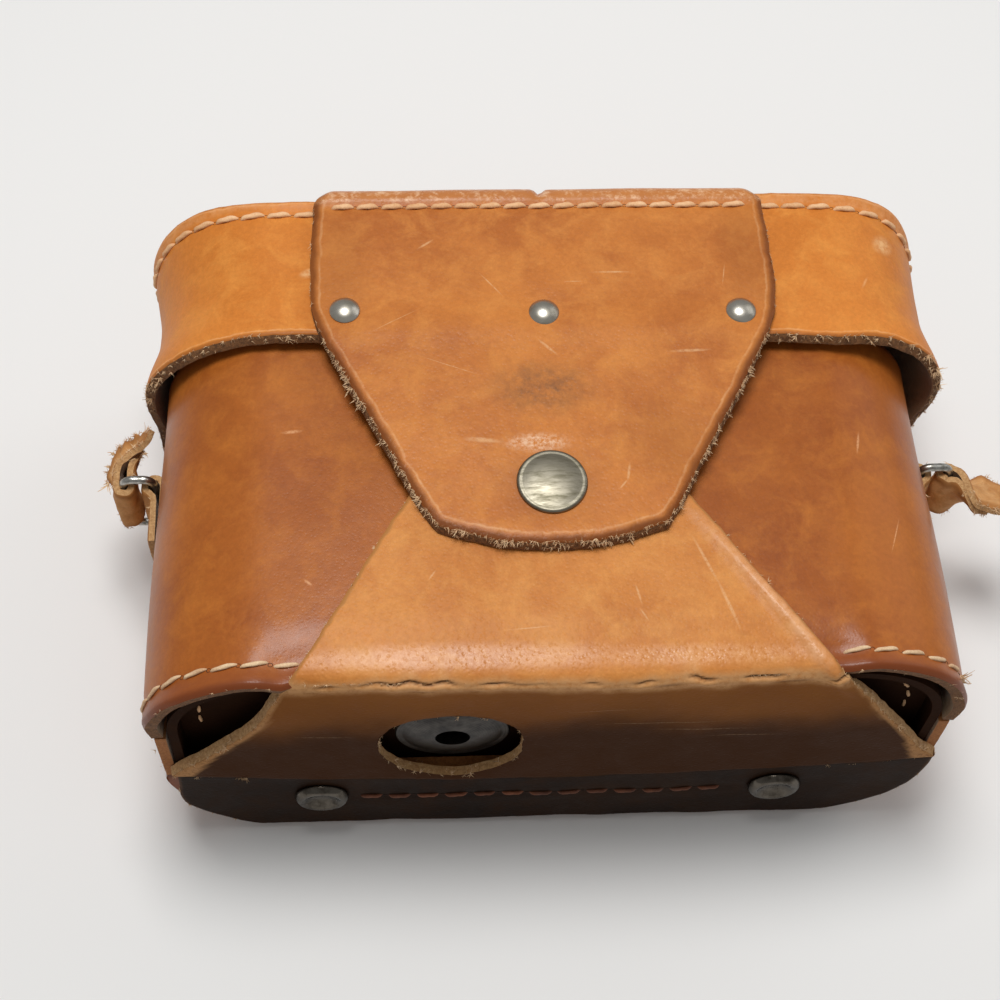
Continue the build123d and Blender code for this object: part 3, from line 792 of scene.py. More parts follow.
def shell_leather():
    """Moulded and polished cowhide: deep orange-brown with a soft varnish gloss."""
    material, tree, shader, place, tone = hide(
        "polished moulded cowhide", "#8f4a1b", "#a75e22", "#b56b27", "#5b2b10",
        pore=0.7, depth=0.02, rough=0.42, coat=0.2, cloud=34.0, crumple=0.09)
    # painted shade: the front shell is darkened beside the wrap, where less light reaches it
    shade_near_wrap = marks(tree, place, [(-30, -22, 60, 30, 34, 25), (36, -26, 60, 30, 34, -25)])
    tone = tint(tree, shader, tone, shade_near_wrap, "#7c3e1a", 0.55)
    lip = add(tree, "ShaderNodeMath", {0: 1.0, 1: between(tree, place, "Y", -48, -44)}, operation="SUBTRACT").outputs[0]
    tone = tint(tree, shader, tone, lip, "#7c3d1e", 0.6)
    nicks = marks(tree, place, [(-46.9, 0.2, 64, 2.4, 0.5, 6), (-43.7, -30.6, 64, 1.2, 0.4, -40),
                                (56.5, -3.3, 64, 3.0, 0.35, 78), (61, -22, 62, 5, 0.18, 70)])
    tint(tree, shader, tone, broken(tree, place, nicks, 0.5, 0.35, 0.5), "#dfa574", 0.65)
    return material


def wrap_leather():
    """Cowhide with its grain rubbed dry: pale tan, with painted shade that makes it brown and dark under the case."""
    material, tree, shader, place, tone = hide(
        "dry rubbed cowhide", "#ba7235", "#ca8240", "#d69451", "#a5703c",
        pore=0.8, depth=0.07, rough=0.52, coat=0.06, cloud=22.0, burnish=1.0)
    # painted shade: the underside past the fold is coloured darker brown, as it faces away from the light
    front = between(tree, place, "Z", 61.5, 65.5)
    below = add(tree, "ShaderNodeMath", {0: 1.0, 1: front}, operation="SUBTRACT").outputs[0]
    tone = tint(tree, shader, tone, below, "#7d4a1c", 0.85)
    # painted shade: the underside grows darker still towards its lower part (lowest), with a further gradient below 56
    # mm (dusk)
    ragged = add(tree, "ShaderNodeTexNoise", {"Vector": place, "Scale": 1 / (16 * mm), "Detail": 4.0}).outputs["Fac"]
    height = add(tree, "ShaderNodeSeparateXYZ", {0: place}).outputs["Z"]
    height = add(tree, "ShaderNodeMath", {0: ragged, 1: -0.014, 2: height}, operation="MULTIPLY_ADD").outputs[0]
    lowest = add(tree, "ShaderNodeMapRange", {
        "Value": height, "From Min": 33 * mm, "From Max": 46 * mm, "To Min": 1.0, "To Max": 0.0},
        interpolation_type="SMOOTHSTEP").outputs[0]
    tone = tint(tree, shader, tone, lowest, "#26160c", 0.92)
    dusk = add(tree, "ShaderNodeMapRange", {"Value": height, "From Min": 38 * mm, "From Max": 56 * mm,
                                            "To Min": 0.6, "To Max": 0.0}).outputs[0]
    tone = tint(tree, shader, tone, dusk, "#4a2912", 0.8)
    torn = noted(tree, "torn")
    tone = tint(tree, shader, tone, broken(tree, place, torn, 0.8, 0.25, 0.5), "#b98858", 0.85)
    # the welt on the right border: its paler tone is partly rubbed leather and partly a painted highlight along its
    # ridge
    welt = noted(tree, "welt")
    tone = tint(tree, shader, tone, broken(tree, place, welt, 1.6, 0.25, 0.6), "#e2ae84", 0.75)
    # painted highlight: a pale band just above the fold, where the rubbed grain is also made smoother and glossier
    rub_and_highlight = marks(tree, place, [(-18, -46.0, 66, 44, 3.4, 0), (24, -46.4, 66, 30, 2.6, 0)])
    tone = tint(tree, shader, tone, broken(tree, place, rub_and_highlight, 0.9, 0.42, 0.62), "#ecc9a2", 0.25)
    shiny = add(tree, "ShaderNodeMath", {0: rub_and_highlight, 1: welt}, operation="MAXIMUM").outputs[0]
    less_rough(tree, shader, shiny, 0.24)
    lines = marks(tree, place, [(25.4, -28.6, 66, 6.4, 0.4, -68), (28.7, -37.4, 66, 6.6, 0.45, -72),
                                (13.2, -35, 66, 2.6, 0.3, -78), (13.9, -39, 66, 1.8, 0.25, -60),
                                (-22.3, -30.7, 66, 1.5, 0.25, 55), (-6, -41, 66, 5, 0.16, 4)])
    tone = tint(tree, shader, tone, broken(tree, place, lines, 0.5, 0.35, 0.5), "#e3b98a", 0.45)
    low_lines = marks(tree, place, [
        (18, -51, 47, 16, 0.22, 2), (26, -51, 44, 12, 0.25, -1), (8, -51, 53, 9, 0.2, 3),
        (34, -51, 41, 10, 0.2, 0), (-42, -51, 44, 7, 0.2, -4)], face="bottom")
    tone = tint(tree, shader, tone, broken(tree, place, low_lines, 0.6, 0.35, 0.55), "#a98a6b", 0.4)
    lip = noted(tree, "lip")
    tone = tint(tree, shader, tone, broken(tree, place, lip, 1.1, 0.2, 0.55), "#cf9c69", 0.85)
    # painted shade: the crack's fissure is coloured dark, as the shade inside it
    tint(tree, shader, tone, noted(tree, "crack"), "#3f2110", 0.85)
    dull = add(tree, "ShaderNodeMapRange", {"Value": front, "To Min": 0.03, "To Max": 0.16}).outputs[0]
    bright = add(tree, "ShaderNodeMath", {0: rub_and_highlight, 1: 0.12, 2: 0.04}, operation="MULTIPLY_ADD").outputs[0]
    bright = add(tree, "ShaderNodeMath", {0: bright, 1: front}, operation="MULTIPLY").outputs[0]
    feed(tree, shader, {"Specular IOR Level": dull, "Coat Weight": bright})
    return material


def band_leather():
    """Thick undyed cowhide of the lid: yellowish tan, matt and smooth."""
    material, tree, shader, place, tone = hide(
        "natural tan cowhide", "#c2722b", "#cf7e34", "#da8f41", "#a35f27",
        pore=0.75, depth=0.035, rough=0.52, coat=0.05, cloud=30.0, burnish=0.9, line=0.35)
    scuff = marks(tree, place, [(67.5, 41.5, 64, 3.6, 2.6, 40), (61.9, 30.6, 64, 2.6, 0.45, 62),
                                (-44, 33, 68, 2.4, 1.4, 20)])
    tone = tint(tree, shader, tone, broken(tree, place, scuff, 1.2, 0.3, 0.6), "#efc792", 0.6)
    lip = between(tree, place, "Y", 48.2, 49.6)
    tint(tree, shader, tone, broken(tree, place, lip, 1.5, 0.3, 0.65), "#dfa06c", 0.6)
    return material


def tongue_leather():
    """Handled cowhide of the tongue: tan with reddish hand stains and pale scratches."""
    material, tree, shader, place, tone = hide(
        "handled cowhide", "#a9602a", "#bf7434", "#cc8440", "#683412",
        pore=0.85, depth=0.06, rough=0.5, coat=0.08, cloud=20.0, burnish=1.8, line=0.3)
    stain = marks(tree, place, [(-1.5, 5.2, 70, 13, 7.5, 0)])
    tone = tint(tree, shader, tone, broken(tree, place, stain, 2.6, 0.3, 0.65), "#6a4932", 0.75)
    round_snap = marks(tree, place, [(-1.2, -14.9, 70, 13, 10, 0)])
    tone = tint(tree, shader, tone, round_snap, "#8f5226", 0.5)
    sides = marks(tree, place, [(-39, 32, 71, 9, 22, 0), (39, 36, 71, 8, 20, 0), (22, -6, 70, 12, 14, 30)])
    tone = tint(tree, shader, tone, sides, "#96551f", 0.35)
    # painted highlight: a pale sheen above the snap, where the leather is also polished smoother
    polished = marks(tree, place, [(-3, -6.2, 70, 7.5, 2.6, 0)])
    tone = tint(tree, shader, tone, broken(tree, place, polished, 0.8, 0.42, 0.6), "#f2d2b2", 0.6)
    lines = marks(tree, place, [
        (12.9, 30.6, 71, 4.4, 0.3, 0), (5.5, 28.5, 71, 2.0, 0.2, 0), (-0.1, 13.9, 71, 3.0, 0.4, -45),
        (26, 12.6, 71, 4.6, 0.45, 2), (-12.6, -5.6, 70, 4.2, 0.7, -6), (12.9, -12.5, 70, 2.4, 0.35, 80),
        (11.8, -15, 70, 1.6, 0.25, 50), (-22, 37.6, 71, 2.2, 0.35, 35), (-10, 28, 71, 4.2, 0.2, -52),
        (-28, 20, 71, 6, 0.12, 30), (-18, 10, 71, 7, 0.1, -22), (34, 30, 71, 3, 0.15, 80)])
    tone = tint(tree, shader, tone, broken(tree, place, lines, 0.7, 0.3, 0.55), "#dcae7e", 0.6)
    top = add(tree, "ShaderNodeMath", {
        0: between(tree, place, "Y", 47.2, 48.2), 1: between(tree, place, "Z", 65.5, 69.0)},
        operation="MULTIPLY").outputs[0]
    tone = tint(tree, shader, tone, top, "#b97b4b", 0.55)
    # painted highlight: pale glints on the rounded top roll, over its worn pinkish tone
    tint(tree, shader, tone, broken(tree, place, top, 1.9, 0.5, 0.66), "#eec7a0", 0.6)
    shiny = add(tree, "ShaderNodeMath", {0: polished, 1: top}, operation="MAXIMUM").outputs[0]
    less_rough(tree, shader, shiny, 0.2)
    return material


def panel_leather():
    """Dark stained leather of the inset panels, with no shine left."""
    material, tree, shader, _, _ = hide(
        "dark stained leather", "#3c2314", "#51321e", "#65422a", "#24140b",
        pore=0.8, depth=0.04, rough=0.8, coat=0.0)
    feed(tree, shader, {"Specular IOR Level": 0.03})
    return material


def anchor_leather():
    """The wrap's rear end, brown, coloured near black as painted shade."""
    # painted shade: the strip lies under the case, so its colour is darkened nearly to black
    material, tree, shader, _, _ = hide(
        "brown cowhide dark with painted shade", "#1c0f07", "#28170b", "#352011", "#4a2e18",
        pore=0.8, depth=0.05, rough=0.55, coat=0.0, burnish=0.8)
    feed(tree, shader, {"Specular IOR Level": 0.06})
    return material


def strap_leather():
    """Old strap leather, dry and bleached where it was torn."""
    return hide("dry strap leather", "#b27a45", "#c79058", "#dcb07c", "#a06a38",
                pore=0.9, depth=0.10, rough=0.7, coat=0.0, cloud=9.0)[0]


def flesh_side():
    """The rough inner side of the hide: fibrous suede, pale brown."""
    material, tree, shader, place = new_material("suede flesh side", bends=True)
    nap = add(tree, "ShaderNodeTexNoise", {"Vector": place, "Scale": 1 / (0.8 * mm), "Detail": 6.0,
                                           "Roughness": 0.8}).outputs["Fac"]
    wide = add(tree, "ShaderNodeTexNoise", {"Vector": place, "Scale": 1 / (14 * mm), "Detail": 3.0}).outputs["Fac"]
    tone = add(tree, "ShaderNodeMix", {
        0: wide, 6: linear("#8f6844"), 7: linear("#b08a5f")}, data_type="RGBA").outputs[2]
    shade = add(tree, "ShaderNodeMapRange", {"Value": nap, "From Min": 0.3, "From Max": 0.7,
                                             "To Min": 0.8, "To Max": 1.12}).outputs[0]
    tone = add(tree, "ShaderNodeVectorMath", {0: tone, 3: shade}, operation="SCALE").outputs[0]
    bump = add(tree, "ShaderNodeBump", {"Height": nap, "Distance": 0.2 * mm, "Strength": 0.7}).outputs[0]
    feed(tree, shader, {"Base Color": tone, "Normal": bump, "Roughness": 0.9, "Sheen Weight": 0.2})
    return material


def raw_edge(name, dark, light):
    """A cut edge of hide: a rough tangle of dark and light fibres."""
    material, tree, shader, place = new_material(name, bends=True)
    fibres = add(tree, "ShaderNodeTexNoise", {"Vector": place, "Scale": 1 / (0.7 * mm), "Detail": 7.0,
                                              "Roughness": 0.85}).outputs["Fac"]
    share = add(tree, "ShaderNodeMapRange", {"Value": fibres, "From Min": 0.34, "From Max": 0.66}).outputs[0]
    tone = add(tree, "ShaderNodeMix", {0: share, 6: linear(dark), 7: linear(light)}, data_type="RGBA").outputs[2]
    bump = add(tree, "ShaderNodeBump", {"Height": fibres, "Distance": 0.35 * mm, "Strength": 0.8}).outputs[0]
    feed(tree, shader, {"Base Color": tone, "Normal": bump, "Roughness": 0.85})
    return material


def loose_fibre():
    """Single collagen fibres that stand out of a cut edge, pale and dry."""
    material, tree, shader, place = new_material("loose leather fibre", bends=True)
    age = add(tree, "ShaderNodeTexNoise", {"Vector": place, "Scale": 1 / (1.5 * mm), "Detail": 2.0}).outputs["Fac"]
    tone = add(tree, "ShaderNodeMix", {0: age, 6: linear("#b07f4e"), 7: linear("#f6dcb4")}, data_type="RGBA").outputs[2]
    feed(tree, shader, {"Base Color": tone, "Roughness": 0.8})
    return material


def thread(name, dark, light):
    """Waxed linen thread: fluffy, and dirtier in some places than in others."""
    material, tree, shader, place = new_material(name)
    fluff = add(tree, "ShaderNodeTexNoise", {"Vector": place, "Scale": 1 / (0.35 * mm), "Detail": 5.0,
                                             "Roughness": 0.75}).outputs["Fac"]
    dirt = add(tree, "ShaderNodeTexNoise", {"Vector": place, "Scale": 1 / (6 * mm), "Detail": 3.0}).outputs["Fac"]
    both = add(tree, "ShaderNodeMath", {0: fluff, 1: dirt}, operation="ADD").outputs[0]
    share = add(tree, "ShaderNodeMapRange", {"Value": both, "From Min": 0.7, "From Max": 1.3}).outputs[0]
    tone = add(tree, "ShaderNodeMix", {0: share, 6: linear(dark), 7: linear(light)}, data_type="RGBA").outputs[2]
    bump = add(tree, "ShaderNodeBump", {"Height": fluff, "Distance": 0.12 * mm, "Strength": 0.6}).outputs[0]
    feed(tree, shader, {"Base Color": tone, "Normal": bump, "Roughness": 0.75})
    return material


def plated(name, colour, stain, rough, scale=(1.0, 1.0, 1.0), grain=1.2):
    """Plated or bare metal: satin, with darker tarnish in streaks.

    scale draws the streaks out along an axis, and grain is their size in millimetres."""
    material, tree, shader, place = new_material(name)
    drawn = add(tree, "ShaderNodeMapping", {"Vector": place, "Scale": scale}).outputs[0]
    streak = add(tree, "ShaderNodeTexNoise", {"Vector": drawn, "Scale": 1 / (grain * mm), "Detail": 5.0,
                                              "Roughness": 0.65}).outputs["Fac"]
    share = add(tree, "ShaderNodeMapRange", {"Value": streak, "From Min": 0.42, "From Max": 0.68}).outputs[0]
    tone = add(tree, "ShaderNodeMix", {0: share, 6: linear(colour), 7: linear(stain)}, data_type="RGBA").outputs[2]
    gloss = add(tree, "ShaderNodeMapRange", {"Value": streak, "From Min": 0.3, "From Max": 0.7,
                                             "To Min": rough - 0.06, "To Max": rough + 0.12}).outputs[0]
    bump = add(tree, "ShaderNodeBump", {"Height": streak, "Distance": 0.03 * mm, "Strength": 0.5}).outputs[0]
    feed(tree, shader, {"Base Color": tone, "Roughness": gloss, "Normal": bump, "Metallic": 1.0})
    return material


def turned_steel():
    """Blackened steel of the tripod screw, with fine rings from the lathe."""
    material, tree, shader, place = new_material("blackened turned steel")
    local = add(tree, "ShaderNodeMapping", {"Vector": place, "Location": (-screw_x * mm, 0, -screw_z * mm),
                                            "Scale": (1, 0, 1)}).outputs[0]
    out = add(tree, "ShaderNodeVectorMath", {0: local}, operation="LENGTH").outputs["Value"]
    rings = add(tree, "ShaderNodeMath", {0: out, 1: 2 * pi / (0.45 * mm)}, operation="MULTIPLY").outputs[0]
    wave = add(tree, "ShaderNodeMath", {0: rings}, operation="SINE").outputs[0]
    wear = add(tree, "ShaderNodeTexNoise", {"Vector": place, "Scale": 1 / (3 * mm), "Detail": 6.0,
                                            "Roughness": 0.7}).outputs["Fac"]
    share = add(tree, "ShaderNodeMapRange", {"Value": wear, "From Min": 0.42, "From Max": 0.66}).outputs[0]
    tone = add(tree, "ShaderNodeMix", {
        0: share, 6: linear("#2f2c2a"), 7: linear("#4d4945")}, data_type="RGBA").outputs[2]
    bump = add(tree, "ShaderNodeBump", {"Height": wave, "Distance": 0.012 * mm, "Strength": 0.5}).outputs[0]
    feed(tree, shader, {"Base Color": tone, "Normal": bump, "Metallic": 1.0, "Roughness": 0.36})
    return material


def shadow_hole():
    """Painted shade: the dark inside of a needle hole."""
    material, tree, shader, place = new_material("needle hole")
    dust = add(tree, "ShaderNodeTexNoise", {"Vector": place, "Scale": 1 / (0.6 * mm)}).outputs["Fac"]
    tone = add(tree, "ShaderNodeMix", {
        0: dust, 6: linear("#1c0f08"), 7: linear("#40230f")}, data_type="RGBA").outputs[2]
    feed(tree, shader, {"Base Color": tone, "Roughness": 0.9})
    return material


shell_hide = shell_leather()
wrap_hide = wrap_leather()
band_hide = band_leather()
tongue_hide = tongue_leather()
panel_hide = panel_leather()
anchor_hide = anchor_leather()
strap_hide = strap_leather()
suede = flesh_side()
brown_edge = raw_edge("brown cut edge", "#3c210f", "#94653a")
waxed_edge = raw_edge("waxed cut edge", "#8a4f22", "#b97a40")
pale_edge = raw_edge("pale cut edge", "#9a6736", "#dcb27c")
fibre = loose_fibre()
cream_thread = thread("cream linen thread", "#b98b63", "#ecd0a8")
tan_thread = thread("tan waxed thread", "#cc935f", "#f0c598")
red_thread = thread("reddish thread", "#4a2512", "#7d4424")
pricked = shadow_hole()
nickel = plated("nickel plate", "#c2bdb2", "#a09a8b", 0.3, grain=2.5)
cap_nickel = plated("streaked nickel plate", "#8b8576", "#5f5a49", 0.4, scale=(0.2, 1.0, 1.0), grain=0.9)
dull_nickel = plated("worn nickel plate", "#5e5850", "#3b352e", 0.22, grain=3.0)
wire_steel = plated("nickel plated wire", "#b9b7b1", "#77736a", 0.3)
eyelet_brass = plated("tarnished brass", "#b08d57", "#6e5733", 0.4)
screw_steel = turned_steel()


# The front shell

def rim_drop(x):
    """How far the front shell's lower rim bulges down beside the wrap."""
    return 1.4 * ramp(44, 48, -x) if x < 0 else 0.1


def make_front_shell():
    """Front and rounded sides of the drop front, moulded in one piece."""
    shell = case_tube("front_shell_leather", half_width, split_height, front_face, rim_y, shell_top,
                      front_radius, 0, 1.3, lambda m, n: abs(n.y) > 0.9 or n.z < -0.9)
    score(shell, "Y", rim_y + 0.4, rim_y + 0.9)
    score(shell, "Z", split_height + 0.6)

    def shape(p):
        low = ramp(-34, -49, p.y)
        groove = 0.28 * exp(-((p.y + (44.6 if p.x < 0 else 45.2)) / 0.9) ** 2)
        high = ramp(41, 56, p.z)
        swell = 0.35 * exp(-((p.y + 47.8) / 1.2) ** 2) * high
        belly = 1.3 * ramp(56, 72, abs(p.x)) * ramp(18, -30, p.y) * ramp(0, 10, p.z - split_height + 4)
        side = ramp(50, 72, abs(p.x))
        out = Vector((p.x / half_width if abs(p.x) > 52 else 0, 0, 1 if p.z > 50 else 0))
        out = out.normalized() if out.length > 0 else Vector((0, 0, 1))
        soft = wobble(p, 30, 0.5, 4.0) + wobble(p, 11, 0.14, 2.0)
        p = p + out * (swell + belly - groove + soft * ramp(0, 8, p.z - split_height) * 0.6)
        p.z -= 1.2 * (1 - ramp(47, 54, abs(p.x))) * ramp(-38, -48, p.y)
        return p + Vector((0, -rim_drop(p.x) * low * high + wobble(p, 8, 0.25, 9.0) * low, -0.25 * low * side))

    mould(shell, shape)
    roots = cut_to_thickness(shell, 2.6, [shell_hide, suede, brown_edge], rounding=0.5, width=1.2, ragged=0.12)
    low = [r for r in roots if r[0].y < -40]
    shell = fray(shell, low, 50, 0.6, fibre)
    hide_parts("front_shell")
    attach(shell, "drop_front")
    return shell


def make_rim_stitching(shell):
    """Cream stitches along the lower rim, round both corners, and the threads' loose ends."""
    spots, holes = corner_rows([(-1, 47.2), (1, 50.4)], 87, pitch, half_width, front_radius, front_face,
                               lambda side, spot: -45.8 if side < 0 else -45.2)
    row = sew("rim_stitches", spots, 4.9, 0.82, 0.7, cream_thread, ground=shell, dip=0.45, slant=7, lift=0.05)
    dark = needle_holes("rim_needle_holes", holes, 0.62, pricked, shell)
    ends = []
    for n, tuft in enumerate([one_tuft() for _ in range(3)]):
        place = standing((70.6, -46.6, 55.0 - n * 1.3), (0, 1, 0), (1, -0.3 + 0.2 * n, 0.5 - n * 0.5))
        ends.append(copy_of(tuft, place @ Matrix.Diagonal((1.3, 1.3, 2.4, 1))))
        cover(ends[-1], cream_thread)
        throw_away(tuft)
    row = join([row, dark, *ends], "rim_stitches")
    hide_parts("rim_stitching")
    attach(row, "drop_front")


# The wrap

wrap_route = rounded_route([(6.0, wrap_face, 0), (bottom_face, wrap_face, 3.0), (bottom_face, crease - 0.4, 0)])
fold_at = 6.0 + 48.0          # distance from the wrap's top to where the fold begins


def wrap_left(s):
    """The wrap's left border at a distance along it; the right one follows."""
    share = s / (fold_at + 41)
    return -13.8 - 53.9 * share - 0.8 * sin(pi * min(share, 1)) + 2.6 * exp(-((s - 74) / 9) ** 2)


def wrap_right(s):
    share = s / (fold_at + 41)
    return 8.6 + 62.4 * share + 1.8 * sin(pi * min(share, 1)) - 2.2 * ramp(85, 95, s)


def crease_lift(x):
    """The crease under the case runs up towards both of its ends."""
    return 4.6 * min(abs(x) / 67, 1.1) ** 2


def wrap_spot(x, s):
    """Place of a point of the wrap: it sags over the shell, and is drawn in and lifted at the fold."""
    spot, out = spot_on(wrap_route, s)
    y, z = spot
    just_short = 0.999            # its end rises a hair less than the anchor strip's does
    z += ramp(fold_at + 30, fold_at + 44, s) * crease_lift(x) * just_short
    fold = exp(-((s - fold_at - 2.5) / 9) ** 2)
    past_fold = ramp(fold_at + 6, fold_at + 20, s)
    y += fold * 1.2 * (abs(x) / 47) ** 2
    z -= fold * 0.5 * (abs(x) / 47) ** 3 + 0.9 * ramp(fold_at - 11, fold_at + 2, s) * (1 - past_fold)
    p = Vector((x, y, z))
    lift = wobble(p, 16, 0.45, 5.0) + wobble(p, 6, 0.12, 6.0)
    sag = 0.7 * exp(-((s - fold_at - 22) / 14) ** 2) * (1 - (x / 60) ** 2)
    beside = exp(-((wrap_right(s) - x - 2.0) / 1.5) ** 2)
    ridge = 0.9 * beside * ramp(16, 40, s) * (1 - ramp(fold_at + 6, fold_at + 14, s))
    top = ramp(2, 14, s)
    return p + Vector((0, out.x, out.y)) * ((lift - 0.1) * top * 0.7 + ridge - sag * 0.5 + 0.15)


def cut_screw_hole(sheet):
    """The hand-cut round hole that the tripod screw's knob stands in."""
    remove(sheet, lambda m, n: m.y < -45 and (m.x - hole_x) ** 2 + (m.z - hole_z) ** 2 < hole_radius ** 2)
    for i in {i for pair in open_edges(sheet) for i in pair}:
        point = sheet.data.vertices[i]
        spot = point.co / mm
        reach = Vector((spot.x - hole_x, spot.z - hole_z))
        if spot.y < -45 and reach.length < hole_radius + 1.5:
            reach = reach.normalized() * (hole_radius + wobble(spot, 4.0, 0.3, 1.0))
            point.co.x, point.co.z = (hole_x + reach.x) * mm, (hole_z + reach.y) * mm
    sheet.data.update()


def gaps_along(x, size, place):
    """Noise along the fold that says where a crack opens and where it is closed."""
    return noise.noise(Vector((x / size, place, 0)))


def wear_wrap(sheet):
    """Crack the fold, raise its lips, and note on each point how much of each wear it has; the crack's mask also
    carries painted shade, and the welt's a painted highlight.
    """
    cracks, lips, welts, tears = [], [], [], []
    for point in sheet.data.vertices:
        p = point.co / mm
        on_x = Vector((p.x, 0, 0))
        line = 64.1 + wobble(on_x, 14, 0.9, 3.0) + wobble(on_x, 3.1, 0.55, 8.0) - 0.9 * ramp(30, 50, abs(p.x))
        gate = 0.1 + 0.9 * ramp(-0.15, 0.25, gaps_along(p.x, 6.0, 4.2))
        away = p.z - line if p.y < -46 else 9.0
        second = away + 1.5 + wobble(on_x, 5, 0.7, 6.0)
        groove = exp(-(away / 0.19) ** 2) * gate
        beside = 0.55 * exp(-(second / 0.28) ** 2) * ramp(0.0, 0.35, gaps_along(p.x, 7.0, 9.1))
        lip = exp(-((away + 0.9) / 0.5) ** 2) * gate
        s = 6.0 - p.y if p.z > 64 else fold_at + 4.7 + 63.5 - p.z
        beyond = (wrap_right(s) - p.x) if p.x > 0 else 9.0
        tear = min(wrap_right(s) - p.x, p.x - wrap_left(s)) + wobble(p, 3, 0.6, 5.0)
        tears.append((1 - ramp(0.5, 1.5, tear)) * (1 - ramp(62, 65, p.z)))
        cracks.append(min(groove + beside, 1.0))
        lips.append(ramp(-3.6, -0.8, away + wobble(on_x, 4, 1.2, 2.0)) * (1 - ramp(0.2, 1.4, away)))
        welts.append(exp(-((beyond - 1.9) / 1.5) ** 2) * ramp(14, 44, s) * (1 - ramp(fold_at - 1, fold_at + 3, s)))
        point.co += point.normal * (0.4 * lip - 0.5 * groove - 0.3 * beside) * mm
    for name, values in (("crack", cracks), ("lip", lips), ("welt", welts), ("torn", tears)):
        sheet.data.attributes.new(name, "FLOAT", "POINT").data.foreach_set("value", values)
    sheet.data.update()


def make_wrap():
    """Light leather from under the tongue, over the fold, to the crease."""
    along = spread(wrap_route[1][-1], 1.25, fine=((fold_at + 0.5, fold_at + 7.5, 0.3),))
    sheet = lay_sheet("wrap_leather", shares(100, 0.85), along, wrap_left, wrap_right, wrap_spot)
    cut_screw_hole(sheet)
    wear_wrap(sheet)
    cracked = [(Vector((x, -50.0 - wobble(Vector((x, 0, 0)), 7, 0.3), 64.4)), Vector((x + 0.9, -50.0, 64.4)),
                Vector((0, -0.9, -0.4)), Vector((0, 0.3, -0.6)))
               for x in range(-44, 47) if gaps_along(x, 9.0, 4.2) > -0.1]
    roots = cut_to_thickness(sheet, 2.0, [wrap_hide, suede, pale_edge], rounding=0.25, ragged=0.25,
                             slant=lambda p: 0.4 * (1 - ramp(60, 66, p.z)) if abs(p.x) > 42 else 0.0)
    free = [r for r in roots if r[0].z > crease + 2 and r[0].y < 2]
    sheet = fray(sheet, free, 300, 0.9, fibre)
    sheet = fray(sheet, cracked, 90, 0.55, fibre)
    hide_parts("front_wrap")
    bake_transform(sheet)


# Behind the crease

def make_anchor_strip():
    """Rear end of the wrap, fixed to the back half behind the crease."""
    top, foot = crease + 0.3, 1.9

    def right(s):
        return 47.5 + sqrt(max(24.2 ** 2 - (rear_radius - max(top - s, foot)) ** 2, 0))

    def left(s):
        return 2.4 * exp(-(s / 6) ** 2) - right(s)

    def build(x, s):
        p = Vector((x, bottom_face, top - s))
        lift = crease_lift(x) * (1 - ramp(0, 7, s))
        pinch = sum(0.35 * exp(-(((x - side * stud_x) ** 2 + (p.z - stud_z) ** 2) / 60)) for side in (-1, 1))
        seam = 0.3 * exp(-((p.z - anchor_seam) / 0.9) ** 2) * (1 - ramp(34, 38, abs(x)))
        return p + Vector((0, wobble(p, 9, 0.25, 3.0) + pinch + seam, lift))

    strip = lay_sheet("anchor_strip_leather", shares(140, 1.5), spread(top - foot, 1.19), left, right, build)
    roots = cut_to_thickness(strip, 2.0, [anchor_hide, suede, brown_edge], rounding=0.22, ragged=0.2)
    sides = [r for r in roots if 4 < r[0].z < crease - 2]
    strip = fray(strip, sides, 60, 0.6, fibre)
    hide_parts("anchor_strip")
    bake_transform(strip)
    return strip


def make_anchor_stitching(strip):
    """Reddish stitches across the anchor strip."""
    spots = straight_row(-34, pitch, 13, bottom_face, anchor_seam, (0, -1, 0))
    holes = straight_row(-34, pitch, 12, bottom_face, anchor_seam, (0, -1, 0), shift=pitch / 2)
    row = sew("anchor_stitches", spots, 4.3, 1.0, 0.8, red_thread, ground=strip, dip=0.4, slant=5)
    row = join([row, needle_holes("anchor_needle_holes", holes, 0.6, pricked, strip)], "anchor_stitches")
    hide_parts("anchor_stitching")
    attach(row, "half_case")


def make_anchor_studs():
    """Two domed studs with a bowl in the middle, the post behind each and its washer."""
    profile = [(1.5, -0.3), (4.3, -0.3), (4.9, -0.15), (5.1, 0.1), (5.05, 0.45), (4.8, 0.95), (4.45, 1.3),
               (4.0, 1.48), (3.55, 1.42), (3.05, 1.1), (2.4, 0.65), (1.7, 0.35), (0.9, 0.2), (0.4, 0.17), (0.0, 0.17)]
    stud = turned("stud", profile, dull_nickel)
    post = turned("post", [(1.5, -4.6), (1.5, -0.2)], dull_nickel, sides=24)
    washer = turned("washer", [(1.4, -5.4), (4.0, -5.4), (4.1, -5.3), (4.1, -4.7), (4.0, -4.6), (1.4, -4.6)],
                    dull_nickel, sides=48)
    whole = join([stud, post, washer], "stud")
    pair = [copy_of(whole, standing((side * stud_x, bottom_face, stud_z), (1, 0, 0), (0, -1, 0)))
            for side in (-1, 1)]
    throw_away(whole)
    studs = finish(join(pair, "anchor_stud_pair"), 40)
    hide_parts("anchor_studs")
    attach(studs, "half_case")


def make_back_tab():
    """The back's upper end, turned up as a tab for the lid's hinge."""
    put_down()
    bpy.ops.mesh.primitive_cube_add(size=1, location=(0, 44.3 * mm, 1.3 * mm), scale=(88 * mm, 2.4 * mm, 2.6 * mm))
    tab = begin("back_tab")
    pick(tab, "EDGE", lambda m, run: m.y > 45)
    bpy.ops.mesh.bevel(offset=0.5 * mm, segments=3, affect="EDGES")
    done()
    divide(tab, 43, lambda m, run: abs(run.x) > 40)
    cover(tab, shell_hide)
    return finish(tab)


